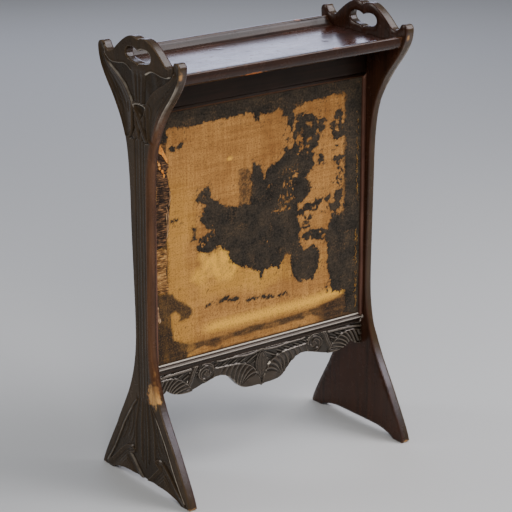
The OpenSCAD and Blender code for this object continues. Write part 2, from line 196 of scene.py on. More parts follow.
def smooth(t):
    """From 0 to 1, level at both ends, as t goes from 0 to 1."""
    t = np.clip(t, 0, 1)
    return t * t * (3 - 2 * t)


def blend(share, one, other):
    """One value where share is 1, the other where it is 0."""
    return share * one + (1 - share) * other


# large odd numbers that make the lattice's corners look random
HASH_SEED, HASH = 374761393, (668265263, 2147483647, 1274126177)
HASH_MIX, HASH_MASK = 1103515245, 0xFFFFFF


def lattice(points, seed):
    """A smooth repeatable noise from -1 to 1, one feature per unit of length."""
    points = np.asarray(points, float)
    cell = np.floor(points).astype(np.int64)
    part = points - cell
    part = part * part * (3 - 2 * part)
    total = np.zeros(len(points))
    dims = points.shape[1]
    for corner in range(2**dims):
        bits = [(corner >> k) & 1 for k in range(dims)]
        key = np.full(len(points), seed * HASH_SEED, np.int64)
        weight = np.ones(len(points))
        for k, bit in enumerate(bits):
            key = key + (cell[:, k] + bit) * HASH[k]
            weight *= part[:, k] if bit else 1 - part[:, k]
        key = (key ^ (key >> 13)) * HASH_MIX
        key = (key ^ (key >> 16)) & HASH_MASK
        total += weight * (key / (HASH_MASK >> 1) - 1)
    return total


def fractal(points, seed, octaves=4):
    """Several noises on top of each other, each half as strong and half as large as the last."""
    total, size = 0.0, 1.0
    for k in range(octaves):
        total = total + size * lattice(np.asarray(points) * 2**k, seed + 17 * k)
        size *= 0.5
    return total / 1.9


# ------------------------------------------------------------------ mesh building


def new_object(name, verts_mm, faces, material, attributes=None, smooth_faces=True):
    """A piece made of points in millimetres. Attributes are one number for each point."""
    mesh = bpy.data.meshes.new(name)
    verts = np.asarray(verts_mm, np.float64) * MM
    mesh.from_pydata(verts.tolist(), [], [list(map(int, f)) for f in faces])
    mesh.validate(clean_customdata=False)
    for key, values in (attributes or {}).items():
        layer = mesh.attributes.new(key, "FLOAT", "POINT")
        layer.data.foreach_set("value", np.asarray(values, np.float32))
    mesh.polygons.foreach_set("use_smooth", [smooth_faces] * len(mesh.polygons))
    mesh.materials.append(material)
    piece = bpy.data.objects.new(name, mesh)
    bpy.context.scene.collection.objects.link(piece)
    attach(piece, "root")
    return piece


def face_outwards(piece):
    """Turns the faces of a closed piece the right way out."""
    bm = bmesh.new()
    bm.from_mesh(piece.data)
    bmesh.ops.recalc_face_normals(bm, faces=bm.faces)
    bm.to_mesh(piece.data)
    bm.free()


def point_values(mesh, what):
    """The points of a mesh, or their normals, as rows of x, y and z."""
    values = np.empty(3 * len(mesh.vertices))
    mesh.vertices.foreach_get(what, values)
    return values.reshape(-1, 3)


def add_ridges(piece, passes=2):
    """Stores how convex the surface is at each point, which the materials read as rubbed edges with
    painted highlights, and as painted shade in creases.
    """
    mesh = piece.data
    n = len(mesh.vertices)
    co = point_values(mesh, "co") / MM
    ends = np.empty(2 * len(mesh.edges), np.int32)
    mesh.edges.foreach_get("vertices", ends)
    a, b = ends.reshape(-1, 2).T
    count = np.bincount(np.r_[a, b], minlength=n).clip(1)

    def around(values):
        """The mean of each point's neighbours."""
        out = np.zeros((n, values.shape[1]))
        for k in range(values.shape[1]):
            out[:, k] = np.bincount(a, values[b, k], n) + np.bincount(b, values[a, k], n)
        return out / count[:, None]

    length = np.linalg.norm(co[a] - co[b], axis=1)
    mean_length = (np.bincount(a, length, n) + np.bincount(b, length, n)) / count
    bend = ((co - around(co)) * point_values(mesh, "normal")).sum(1) / mean_length.clip(0.2) ** 2 * 2
    bend = bend.clip(-1, 1)[:, None]
    for _ in range(passes):
        bend = 0.5 * bend + 0.5 * around(bend)
    layer = mesh.attributes.new("ridge", "FLOAT", "POINT")
    layer.data.foreach_set("value", bend[:, 0].astype(np.float32))


def thinned(points, gap, taken=()):
    """The points that keep at least gap from each other and from those already taken."""
    cells = {}

    def free(p):
        i, j = int(p[0] // gap), int(p[1] // gap)
        for di in (-1, 0, 1):
            for dj in (-1, 0, 1):
                for q in cells.get((i + di, j + dj), ()):
                    if (p[0] - q[0]) ** 2 + (p[1] - q[1]) ** 2 < gap * gap:
                        return False
        return True

    def put(p):
        cells.setdefault((int(p[0] // gap), int(p[1] // gap)), []).append(p)

    for p in taken:
        put(p)
    kept = []
    for p in points:
        if free(p):
            put(p)
            kept.append(p)
    return np.array(kept).reshape(-1, 2)


def beside(line, offset):
    """The line moved sideways."""
    way = np.gradient(line, axis=0)
    way /= np.linalg.norm(way, axis=1)[:, None].clip(1e-9)
    return line + offset * np.stack([way[:, 1], -way[:, 0]], -1)


def triangulate(loops, extra):
    """Triangles over the area between the outer loop and the holes, with the extra points in it."""
    points, edges = [], []
    for loop in loops:
        start = len(points)
        points += [tuple(p) for p in loop]
        edges += [(start + i, start + (i + 1) % len(loop)) for i in range(len(loop))]
    points += [tuple(p) for p in extra]
    found = delaunay_2d_cdt([Vector(p) for p in points], edges, [], 1, 1e-7)
    flat = np.array([tuple(v) for v in found[0]])
    source = np.array([o[0] if o else -1 for o in found[3]])
    if len(flat) != len(points) or (source != np.arange(len(points))).any():
        raise RuntimeError("the outline or its points cross each other")
    faces = np.array(found[2])
    return flat, faces[within(flat[faces].mean(1), loops)]


def rounding(r, d):
    """How far an arris rounded by the radius r has fallen away at the distance d from its edge."""
    return r - np.sqrt((r**2 - (r - d.clip(0, r)) ** 2).clip(0))


def beside_loops(loops, offsets):
    """Points at each of the offsets on both sides of each loop."""
    found = []
    for loop in loops:
        padded = np.concatenate([loop[-1:], loop, loop[:1]])
        found += [beside(padded, side * offset)[1:-1] for offset in offsets for side in (-1, 1)]
    return np.concatenate(found)


CREASE_ROWS = (-0.55, 0.55, 1.5, -1.5)


def relief_solid(loops, creases, height, step, front, back, arris, back_arris, wall_rows, softened=None):
    """A carved board. Returns points as (across, up, depth), faces, how deep each point is sunk, and
    1 for the points of its edges.

    loops are the outline and its holes. height gives the carving at the points of the face, given
    their distance from the edge. creases are lines that the carving steps along, so points follow
    them. front and back are the depths of the two faces, and the arrises are their rounding.
    softened gives how much more the face falls away near its edge in places.
    """
    loops = [closed(loop, step) for loop in loops]
    around = np.concatenate(loops)
    low, high = loops[0].min(0), loops[0].max(0)

    def from_edge(points):
        return nearest(points, [ring(loop) for loop in loops])

    def kept(points, clear):
        """The points within the outline, and further than clear from it."""
        points = points[within(points, loops)]
        return points[from_edge(points) > clear]

    rings = kept(beside_loops(loops, (0.2 * arris, 0.5 * arris, arris)), 0.19 * arris)
    rows = np.arange(low[1], high[1], step * math.sqrt(3) / 2)
    grid = kept(np.array([
        (x, z) for k, z in enumerate(rows)
        for x in np.arange(low[0] + (k % 2) * step / 2, high[0], step)]), arris + 0.4 * step)
    follow = kept(np.concatenate([
        beside(resample(line, step), offset)
        for line in creases for offset in CREASE_ROWS]), 1.15 * arris)
    grid = grid[nearest(grid, creases) > max(CREASE_ROWS) + 0.35 * step]
    extra = thinned(np.concatenate([rings, follow]), 0.42 * step, around)
    extra = np.concatenate([extra, thinned(grid, 0.6 * step, extra)])
    flat, faces = triangulate(loops, extra)
    n = len(around)
    d = from_edge(flat)
    d[:n] = 0
    fallen = rounding(arris, d)
    if softened:
        fallen += softened(flat, d)
    carving = height(flat, d)
    points = [np.column_stack([flat, front + carving - fallen])]
    sunk = [-carving]
    wall = [np.zeros(len(flat))]
    quads = []

    # the walls run back from the outline in rows
    last = np.arange(n)
    total = len(flat)
    back_edge = back + back_arris
    face_edge = points[0][:n, 2]
    nexts = np.concatenate([
        start + (np.arange(len(p)) + 1) % len(p)
        for start, p in zip(np.cumsum([0, *map(len, loops)])[:-1], loops)])
    for row in range(1, wall_rows + 1):
        share = row / wall_rows
        depth = face_edge + (back_edge - face_edge) * share
        points.append(np.column_stack([around, depth]))
        sunk.append(sunk[0][:n] * (1 - share))
        wall.append(np.ones(n))
        this = total + np.arange(n)
        quads += np.stack([last, last[nexts], this[nexts], this], -1).tolist()
        last = this
        total += n

    # the plain back face
    inner = kept(beside_loops(loops, (0.4 * back_arris, back_arris)), 0.38 * back_arris)
    coarse = thinned(grid[from_edge(grid) > 8], gap=9)
    flat_b, faces_b = triangulate(loops, np.concatenate([thinned(inner, 0.35 * step, around), coarse]))
    fresh = len(flat_b) - n
    fallen = rounding(back_arris, from_edge(flat_b[n:]))
    points.append(np.column_stack([flat_b[n:], back + fallen]))
    sunk.append(np.zeros(fresh))
    wall.append(np.zeros(fresh))
    index = np.r_[last, total + np.arange(fresh)]
    return (np.concatenate(points), faces.tolist() + quads + index[faces_b].tolist(),
            np.concatenate(sunk), np.concatenate(wall))


# ------------------------------------------------------------------ carved uprights


def both_sides(half, top, other=None):
    """Closes a half outline over the axis with its mirror image, or with another half's."""
    other = half if other is None else other
    mirror = (other[1:] if other[0][0] == 0 else other)[::-1] * [-1, 1]
    return chain(half, top, mirror)


def upright_half(fuller):
    """Half of an upright's outline. The shaft is wider by fuller, the waist and flare by part of it."""
    part, rest, shaft = 0.4 * fuller, 0.25 * fuller, WAIST_HALF + fuller
    waist = WAIST_HALF + part
    return chain(
        path((58, ARCH_H), [(92, ARCH_H), (FOOT_HALF - 48, 10), (FOOT_HALF - 36, 0)]),
        (FOOT_HALF - 4, 0),
        path((FOOT_HALF, 4), [(FOOT_HALF - 5, 24), (FOOT_HALF - 27, 62), (FOOT_HALF - 63, 124)],
             [(77 + fuller, 178), (waist, 240), (waist, 370)],
             [(waist + 0.1 * fuller, 460), (shaft + 4, 560), (shaft + 5.5, 670)],
             [(shaft + 6.5, 716), (35 + fuller, 768), (46 + 0.6 * fuller, 801)],
             [(56 + part, 836), (80 + part, 878), (EAR_HALF - 42 + rest, 912)],
             [(EAR_HALF - 22 + rest, 937), (EAR_HALF, 962), (EAR_HALF, 993)])[:-1],
        arc((EAR_HALF - 12, 995), 12, 0, 150),
        path((EAR_HALF - 23, 999), [(EAR_HALF - 30, 987), (106, 985), (96, 994)],
             [(80, 1008), (46, CREST_Z), (23, CREST_Z)],
             [(12, CREST_Z), (4, CREST_Z - 2), (0, CREST_Z - 7)])[:-1])


def hand_hole():
    """The outline of the hole in the upright's cap."""
    half = path((0, 976), [(6, 984), (24, 981), (38, 986)], [(50, 990), (51, 1004), (40, 1010)],
                [(30, 1015), (10, 1014), (0, 1007)])
    return both_sides(half[:-1], half[-1])


UPRIGHT = both_sides(upright_half(REAR_FULL), (0, CREST_Z - 7), upright_half(0))
CAP_EAR = curve((131, 1004), (127, 992), (130, 978), (115, 972))
CAP_LINE = path((115, 972), [(104, 964), (84, 967), (62, 971)], [(48, 973), (38, 968), (27, 961)])
LEAF_LINE = path((128, 977), [(112, 955), (66, 944), (44, 918)], [(34, 906), (28, 898), (25, 889)],
                 [(28, 866), (26, 842), (31, 824)], [(32, 816), (37, 811), (44, 811)])
LEAF_VEINS = [curve((90, 922), (84, 908), (78, 898), (68, 888)),
              curve((34, 897), (45, 895), (46, 880), (40, 866))]
PIT = path((-25, 887), [(-10, 893), (8, 893), (22, 887)], [(14, 876), (4, 866), (-3, 857)],
           [(-12, 864), (-20, 876), (-25, 887)])[:-1]
BAND_LINE = path((29, 202), [(52, 176), (62, 158), (80, 132)], [(100, 98), (112, 66), (153, 13)])
SPUR_LINE = path((8, 19), [(26, 34), (40, 50), (55, 63)], [(38, 66), (34, 80), (52, 84)],
                 [(86, 85), (102, 46), (152, 15)])
SPUR_RISE = 26  # how many of the spur's points are on its first rise
VINES = [curve((24, 884), (6, 868), (-2, 846), (-24, 814)),
         curve((13, 874), (20, 850), (8, 836), (3, 812))]
FOLDS = [curve((46, 186), (44, 150), (50, 122), (68, 100)),
         curve((62, 152), (64, 132), (72, 112), (94, 86)),
         curve((42, 134), (44, 116), (48, 102), (58, 92))]


def step_up(over, wide=1.4):
    """From 0 to 1 across a line, given how far each point is over it."""
    return smooth(0.5 + over / wide)


def past(points, line, *corners):
    """(how far each point is over the line, how far along the line that is).

    Over the line is inside the region that the line and the corners bound.
    """
    d, along = line_distance(points, line)
    return np.where(inside(points, chain(line, *corners)), d, -d), along


def foot_carving(sym, shaft):
    """The foot: a plain band with a bead, a sunk field with a fluted skirt, and two curled leaves."""
    a, z = sym.T
    spread = 14 + 24 * smooth((256 - z) / 135)
    to_rib = np.minimum(np.abs(a - 0.36 * spread), np.abs(a - spread))
    to_rib = np.minimum(to_rib, a + 2.0)
    skirt = -4.0 + 3.0 * np.exp(-(to_rib / 2.6) ** 1.4)
    t = a / spread
    hem = np.where(t < 0.36, 43 + 17 * (t / 0.36) ** 2, 58 + 16 * ((t - 0.68) / 0.32) ** 2)
    field = np.full(len(a), -4.7)
    for line in FOLDS:
        field += 2.0 * smooth(1 - distance(sym, line) / 4.0)
    on_skirt = step_up(z - hem, 2.5) * smooth((spread + 2.6 - a) / 2.0)
    below = blend(on_skirt, skirt, field)
    to_band = past(sym, BAND_LINE, (190, -8), (190, 60), (60, 260), (31, 260))[0]
    below = np.where(to_band > 0, -0.8, below)
    below -= 1.1 * smooth(1 - np.abs(to_band - 4.4) / 2.0)
    below = np.maximum(below, -4.0 * smooth((np.abs(to_band) - 0.4) / 2.2) - 3 * (z > 206))
    h = blend(smooth((224 - z) / 30), below, shaft)
    to_spur = past(sym, SPUR_LINE, (152, -10), (8, -10))[0]
    body = -0.1 - 3.3 * smooth((to_spur - 0.8) / 14) + 2.0 * smooth((to_spur - 15) / 15)
    body += 0.5 * np.sin(to_spur * 0.95) * smooth((z - 20) / 20)
    h = blend(step_up(to_spur), body, h)
    curl = smooth(1.1 - np.hypot((a - 47) / 14, (z - 75) / 12))
    return h + 1.7 * curl * np.cos(2 * math.pi * (z + 0.35 * a) / 6.2)


def fan_carving(p, sym, shaft):
    """The field above the shaft, with the fluted stem, the deep eye under it, and crossing vines."""
    a, z = sym.T
    stem_half = (17 + (z - 893) * 0.15).clip(4)
    flutes = np.cos(2 * math.pi * (a / stem_half) ** 0.9 / 0.62)
    stem = -2.2 + 0.45 * flutes * smooth((z - 893) / 6) + 0.12 * fractal(p / [5, 60], 8, 2)
    on_stem = smooth((stem_half + 2 - a) / 3.5)
    field = -4.4 + 0.4 * np.sin(a * 0.16 + z * 0.05)
    high = blend(on_stem, stem, field)
    low = np.full(len(a), -4.8)
    for side in (1, -1):
        for line, wide in zip(VINES, (9.0, 6.5)):
            d = distance(p * [side, 1], line)
            vine = -0.7 - 2.4 * (d / wide) ** 2 - 1.0 * smooth(1 - d / 1.5)
            low = np.maximum(low, np.where(d < wide, vine - (0.7 if side < 0 else 0), FALLS))
    h = np.where(z > 811 + 2 * np.cos(a / 9), np.where(z > 889, high, low), shaft)
    lip = -0.7 - 0.28 * (z - 891.5) ** 2
    h = np.maximum(h, np.where(a < 24, lip, FALLS))
    eye = signed(p, PIT)
    deep = smooth(eye / 5) * smooth((17 - p[:, 0]) / 22)
    h = np.where(eye > 0, np.minimum(h, -1.6 - 7.0 * deep - 1.6 * smooth(eye / 9)), h)
    return h + 1.0 * smooth(1 - np.abs(eye) / 1.8) * (z > 872)


def upright_carving(p, edge):
    """Depth of the carving on an upright's outer face, at points given as (y, z)."""
    y, z = p.T
    a = np.abs(y)
    sym = np.stack([a, z], -1)
    wander = fractal(p / [14, 60], 3, 3)

    # the shaft: a reed down the middle, one on each side of it, and plain outer strips
    shaft = np.full(len(p), -2.5)
    for at, wide, tall in ((0, 4.2, 1.1), (12, 3.6, 0.8), (7, 2.4, 0.25)):
        shaft += tall * smooth(1 - np.abs(a + 0.5 * wander - at) / wide)
    shaft += 1.3 * smooth((a - 16.5) / 3)
    h = np.where(z < 320, foot_carving(sym, shaft), fan_carving(p, sym, shaft))

    # the two great leaves of the fan
    to_leaf = past(sym, LEAF_LINE, (62, 811), (175, 950), (175, 1012), (131, 1008), CAP_EAR[:18])[0]
    across = (to_leaf / (to_leaf + edge + 0.01)).clip(0, 1)
    body = -0.1 - 3.2 * np.sin(math.pi * across) ** 1.4
    streak = smooth((z - 856) / 24) * smooth((980 - z) / 25) * smooth(to_leaf / 5)
    body += 0.26 * streak * np.sin(across * 27 + 3.0 * fractal(sym / [34, 26], 5, 2))
    body -= 1.0 * smooth(1 - np.abs(edge - 6.5) / 2.0) * smooth((z - 830) / 20) * smooth((985 - z) / 20)
    for line in LEAF_VEINS:
        body += 1.1 * smooth(1 - distance(sym, line) / 2.0)
    h = np.where(z > 800, blend(step_up(to_leaf), body, h), h)

    # the smooth cap round the hand hole, and the rolled ears beside it
    to_cap = past(sym, CAP_LINE, (-1, 961), (-1, 1100), (131, 1100), CAP_EAR)[0]
    to_ear = distance(sym, CAP_EAR)
    to_cap = np.where(to_cap > 0, np.minimum(to_cap, to_ear), -np.minimum(-to_cap, to_ear))
    cap = -0.8 + 0.7 * smooth(1 - to_cap / 4.5)
    rise = np.where(a > 27, step_up(to_cap, 1.2), smooth((z - 952) / 20))
    h = np.where(z > 940, blend(rise, cap, h), h)
    h = np.where((to_cap < 0) & (to_leaf > 0) & (z > 968), h - 2.4 * smooth(1 - to_ear / 3.2), h)
    return np.minimum(h + 0.14 * fractal(p / 11, 9, 3) * smooth(edge / 6), 0)


def worn_round(p, edge):
    """The front arris of the shaft is rubbed to a wide curve."""
    y, z = p.T
    return rounding(0.01 + 7.5 * smooth((z - 215) / 50) * smooth((880 - z) / 60) * (y < 0), edge)


def handled(points):
    """1 on the front edge of the shaft and the strip beside it, where hands have kept it clean."""
    y, z, x = points.T
    near = smooth((15 - distance(points[:, :2], ring(UPRIGHT))) / 10)
    near *= (y < -8) * (x > INNER_X + 1)
    return near * smooth((z - 215) / 40) * smooth((915 - z) / 70)


def rubbed_spots(verts, side):
    """Where handling has worn an upright down to bare wood."""
    mid_x = side * (INNER_X + OUTER_X) / 2
    spots = [((mid_x, -FOOT_HALF + 2, 2), (20, 10, 6), 91, 0.8),
             ((mid_x, FOOT_HALF - 2, 1), (20, 8, 4), 92, 0.7),
             ((mid_x - 5, -EAR_HALF + 1, 974), (6, 5, 15), 93, 0.75)]
    if side < 0:
        spots += [((-OUTER_X + 5, -38, 233), (9, 28, 36), 94, 1.9),
                  ((-OUTER_X + 9, -28, 279), (5, 9, 12), 95, 1.5)]
    return np.max([(strength * spot(verts, *each)).clip(0, 1) for *each, strength in spots], axis=0)


def painted_glint_lines(points):
    """1 along the crests of the carving, where highlights are painted in as pale lines."""
    y, z, x = points.T
    p = points[:, :2]
    sym = np.abs(p)
    front = y < 0

    rim = distance(p, ring(UPRIGHT))
    lines = [
        (rim - 1.2, front * smooth((z - 838) / 20) * smooth((962 - z) / 14)),
        (distance(sym, CAP_LINE), smooth((z - 955) / 8) * np.where(front, 1.0, 0.9)),
        (distance(sym, CAP_EAR), smooth((1000 - z) / 8) * ~front),
        (1.4 * distance(sym, LEAF_LINE), 0.4 * smooth((z - 880) / 14) * smooth((968 - z) / 10) * ~front),
        (distance(sym, BAND_LINE), np.where(front, 0.9, 0.35) * smooth((186 - z) / 12)),
        (2.2 * distance(sym, SPUR_LINE[:SPUR_RISE]), np.where(front, 0.4, 0.8)),
        (distance(p, PIT), 0.9 * smooth((z - 880) / 6)),
        (distance(p, hand_hole()) - 0.8, 0.6 * front * smooth((z - 984) / 6))]
    # painted highlights: pale lines along each crest
    worn = np.max([smooth((1.7 - np.abs(d)) / 1.2) * strength for d, strength in lines], axis=0)
    worn = (x > OUTER_X - 6) * worn
    inner = front * (x < INNER_X + 1.3) * smooth((z - 850) / 20) * smooth((972 - z) / 14)
    worn = np.maximum(worn, inner * smooth((1.6 - rim) / 1.2))
    return worn * (0.55 + 0.45 * fractal(p / 13, 96, 3)).clip(0, 1)


def make_uprights():
    half_creases = [CAP_EAR, CAP_LINE, LEAF_LINE, BAND_LINE, SPUR_LINE]
    creases = half_creases + [mirrored(line) for line in half_creases] + [ring(PIT)]
    points, faces, sunk, wall = relief_solid(
        [UPRIGHT, hand_hole()], creases, upright_carving, step=1.7, front=OUTER_X, back=INNER_X,
        arris=1.6, back_arris=1.2, wall_rows=6, softened=worn_round)
    y, z, x = points.T
    on_shaft = smooth((z - 195) / 40) * smooth((976 - z) / 30)
    on_cap = smooth((z - 985) / 12)
    # the second of these paints highlights as pale lines along the crests
    warm, bright = handled(points), painted_glint_lines(points)
    for name, side in (("right_upright", 1), ("left_upright", -1)):
        verts = np.column_stack([side * x, y, z])
        piece = new_object("carved_" + name, verts, faces, CARVED, {
            "sunk": sunk, "inner": smooth((OUTER_X - x - 15) / 6), "bare": rubbed_spots(verts, side),
            "warm": warm * (0.75 if side < 0 else 0.1),
            "edge": wall * (0.85 - 0.75 * on_shaft - 0.3 * on_cap), "bright": bright})
        face_outwards(piece)
        add_ridges(piece)
        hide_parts(name)


# ------------------------------------------------------------------ camera, light and floor

CAMERA_AT = Vector((-2.749, -3.609, 2.007))
CAMERA_AZIMUTH, CAMERA_ELEVATION = -37.23, 18.54
LENS, SENSOR = 147.54, 36.0


FLOOR_HALF = 60.0


def place(name, data, at, towards):
    """Adds a camera or a light, in metres, that looks along a direction."""
    thing = bpy.data.objects.new(name, data)
    thing.location = at
    thing.rotation_mode = "QUATERNION"
    thing.rotation_quaternion = towards.to_track_quat("-Z", "Y")
    bpy.context.scene.collection.objects.link(thing)
    return thing


def make_camera():
    data = bpy.data.cameras.new("camera")
    data.lens, data.sensor_width = LENS, SENSOR
    azimuth, elevation = math.radians(CAMERA_AZIMUTH), math.radians(CAMERA_ELEVATION)
    back = Vector((math.sin(azimuth) * math.cos(elevation),
                   -math.cos(azimuth) * math.cos(elevation), math.sin(elevation)))
    bpy.context.scene.camera = place("camera", data, CAMERA_AT, -back)


def softbox(name, at, aim, size, power, colour):
    data = bpy.data.lights.new(name, "AREA")
    data.shape = "RECTANGLE"
    data.size, data.size_y = size
    data.energy = power
    data.color = colour
    light = place(name, data, at, Vector(aim) - Vector(at))
    light.visible_camera = False


def make_room():
    """The floor, a dim sky and five soft lights."""
    world = bpy.data.worlds.new("studio")
    world.use_nodes = True
    sky = world.node_tree.nodes["Background"].inputs
    sky["Color"].default_value = (0.86, 0.9, 1.0, 1)
    sky["Strength"].default_value = 0.22
    bpy.context.scene.world = world
    mesh = bpy.data.meshes.new("floor")
    r = FLOOR_HALF
    mesh.from_pydata([(-r, -r, 0), (r, -r, 0), (r, r, 0), (-r, r, 0)], [], [(0, 1, 2, 3)])
    floor = bpy.data.objects.new("floor", mesh)
    bpy.context.scene.collection.objects.link(floor)
    stuff = bpy.data.materials.new("floor")
    stuff.use_nodes = True
    shader = stuff.node_tree.nodes["Principled BSDF"]
    shader.inputs["Base Color"].default_value = (0.62, 0.62, 0.61, 1)
    shader.inputs["Roughness"].default_value = 0.9
    mesh.materials.append(stuff)
    softbox("above", (1.5, -0.95, 3.2), (0, 0, 0.5), (2.4, 2.0), 72, (0.98, 0.98, 1))
    softbox("front_left", (-2.0, -3.0, 2.9), (0, 0, 0.55), (1.3, 1.3), 80, (1, 0.97, 0.92))
    softbox("front_right", (2.3, -2.4, 2.5), (-0.1, 0, 0.3), (1.7, 1.7), 56, (0.96, 0.93, 1))
    softbox("behind", (2.6, 4.3, 2.3), (0, 0, 0.95), (3.4, 1.6), 44, (0.70, 0.76, 1))
    softbox("back_left", (-3.0, 2.6, 2.4), (0, 0, 0.6), (1.0, 1.0), 34, (0.92, 0.95, 1))


# ------------------------------------------------------------------ materials


def shade(*colour, by=1.0):
    """A display colour, 0 to 255, as a shader's linear colour. by is one factor or three."""
    parts = [min(c * k / 255, 1.0) for c, k in zip(colour, by if isinstance(by, tuple) else (by,) * 3)]
    return (*(c / 12.92 if c < 10 / 255 else ((c + 0.055) / 1.055) ** 2.4 for c in parts), 1)


class Stuff:
    """One material, built from nodes."""

    def __init__(self, name, **sockets):
        self.material = bpy.data.materials.new(name)
        self.material.use_nodes = True
        self.tree = self.material.node_tree
        self.shader = self.tree.nodes["Principled BSDF"]
        for key, value in sockets.items():
            self.shader.inputs[key.replace("_", " ")].default_value = value
        self.where = self.add("ShaderNodeTexCoord").outputs["Object"]

    def add(self, kind, inputs=None, **settings):
        made = self.tree.nodes.new(kind)
        for key, value in settings.items():
            setattr(made, key, value)
        for key, value in (inputs or {}).items():
            self.put(made.inputs[key], value)
        return made

    def put(self, socket, value):
        if isinstance(value, bpy.types.NodeSocket):
            self.tree.links.new(value, socket)
        else:
            socket.default_value = value

    def noise(self, scale, detail, roughness, distortion=0.0, stretch=None, turn=(0, 0, 0)):
        """A noise, over coordinates that are stretched by a factor for each axis, if one is given."""
        where = self.where
        if stretch:
            where = self.add("ShaderNodeMapping", {
                "Vector": where, "Rotation": turn, "Scale": stretch}).outputs["Vector"]
        return self.add("ShaderNodeTexNoise", {
            "Vector": where, "Scale": scale, "Detail": detail, "Roughness": roughness,
            "Distortion": distortion}).outputs["Fac"]

    def painted(self, name):
        """What a piece stores at each point under this name, or 0."""
        return self.add("ShaderNodeAttribute", attribute_name=name).outputs["Fac"]

    def ramp(self, fac, stops):
        """Linear between (place, value) stops, where a value is a colour or a number."""
        made = self.add("ShaderNodeValToRGB", {"Fac": fac})
        elements = made.color_ramp.elements
        while len(elements) < len(stops):
            elements.new(0.5)
        for element, (at, value) in zip(elements, stops):
            element.position = at
            element.color = value if isinstance(value, tuple) else (value, value, value, 1)
        return made.outputs["Color"]

    def tones(self, fac, low, high, *colours):
        """Between two or three display colours, as fac goes from low to high."""
        places = (low, high) if len(colours) == 2 else (low, 0.5, high)
        return self.ramp(fac, [(at, shade(*colour)) for at, colour in zip(places, colours)])

    def mix(self, fac, a, b):
        made = self.add("ShaderNodeMix", data_type="RGBA")
        self.put(made.inputs[0], fac)
        self.put(made.inputs[6], a)
        self.put(made.inputs[7], b)
        return made.outputs[2]

    def maths(self, operation, a, b=0.0, clamp=False):
        made = self.add("ShaderNodeMath", operation=operation, use_clamp=clamp)
        self.put(made.inputs[0], a)
        self.put(made.inputs[1], b)
        return made.outputs[0]

    def times(self, a, b, clamp=False):
        return self.maths("MULTIPLY", a, b, clamp)

    def mean(self, a, b, share=0.5):
        """The weighted mean of two values, where share is the weight of the first."""
        return self.maths("ADD", self.times(a, share), self.times(b, 1 - share))

    def bump(self, height, distance, strength=1.0):
        made = self.add("ShaderNodeBump", {
            "Height": height, "Distance": distance, "Strength": strength})
        self.put(self.shader.inputs["Normal"], made.outputs["Normal"])

    def finish(self, colour, roughness):
        self.put(self.shader.inputs["Base Color"], colour)
        self.put(self.shader.inputs["Roughness"], roughness)
        return self.material


GRAIN = {"x": (3, 60, 60), "y": (60, 3, 60), "z": (60, 60, 3)}
WARM_TINT, COOL_TINT = (1.0, 0.88, 0.76, 1), (0.84, 0.86, 1.0, 1)


def wood(name, along, dark, mid, worn, rough=(0.32, 0.5), wear_and_glint=1.0, grime_and_shade=1.0, depth=0.00018,
         glint=0.0, shine=0.26):
    """Old stained wood: streaky grain, pale rubbed ridges with painted highlights, darker deep carving,
    and painted shade in creases.

    glint paints highlights as pale spots on the sharpest ridges, and lets the piece's painted glint lines
    and its edge attribute show.
    """
    s = Stuff(name, Specular_IOR_Level=shine, Specular_Tint=WARM_TINT)
    grain = s.noise(1.6, 6, 0.62, 0.6, stretch=GRAIN[along])
    pores = s.noise(3.1, 3, 0.6, stretch=[4 * k for k in GRAIN[along]])
    cloud = s.noise(9, 4, 0.6)
    fine = s.noise(160, 3, 0.6)
    ridge = s.painted("ridge")
    colour = s.tones(grain, 0.3, 0.72, dark, mid)
    colour = s.mix(s.ramp(cloud, [(0.42, 0.0), (0.66, 0.5)]), colour, shade(*dark, by=0.6))
    deep = s.times(s.times(s.painted("sunk"), 0.22, True), 0.75 * grime_and_shade)
    colour = s.mix(deep, colour, shade(22, 19, 12))
    # painted shade: concave creases darkened towards near black
    hollow = s.times(s.times(ridge, -6.0, True), 0.85 * grime_and_shade)
    colour = s.mix(hollow, colour, shade(9, 7, 5))
    # pale ridges: rubbed edges, with painted highlights on the crests
    pale_ridge = s.maths("SUBTRACT", s.times(ridge, 7.0), 0.35, True)
    pale_ridge = s.times(pale_ridge, s.ramp(cloud, [(0.36, 0.3), (0.6, 1.0)]))
    pale_ridge = s.times(pale_ridge, s.ramp(fine, [(0.3, 0.55), (0.6, 1.0)]))
    colour = s.mix(s.times(pale_ridge, wear_and_glint), colour, shade(*worn))
    if glint:
        # painted highlights: near-white glints on the sharpest ridges and along the painted glint lines
        sharp = s.maths("SUBTRACT", s.times(ridge, 5.0), 1.1, True)
        sharp = s.times(sharp, s.ramp(s.noise(22, 3, 0.6), [(0.46, 0.0), (0.58, glint)]))
        colour = s.mix(s.maths("MAXIMUM", sharp, s.painted("bright")), colour, shade(206, 196, 180))
        edge = s.painted("edge")
        s.put(s.shader.inputs["Specular IOR Level"], s.maths("ADD", s.times(edge, 0.4), shine))
        s.put(s.shader.inputs["Specular Tint"], s.mix(edge, WARM_TINT, COOL_TINT))
    bare = s.tones(grain, 0.3, 0.7, (176, 112, 52), (222, 178, 108))
    colour = s.mix(s.painted("bare"), colour, bare)
    warm = s.tones(grain, 0.28, 0.72, (66, 38, 23), (112, 72, 45))
    colour = s.mix(s.painted("warm"), colour, warm)
    plain = s.tones(grain, 0.28, 0.72, (34, 19, 13), (66, 36, 24))
    colour = s.mix(s.times(s.painted("inner"), 0.9), colour, plain)
    s.bump(s.mix(0.35, s.mix(0.4, grain, pores), fine), depth)
    return s.finish(colour, s.ramp(s.noise(34, 5, 0.65), [(0.3, rough[0]), (0.7, rough[1])]))


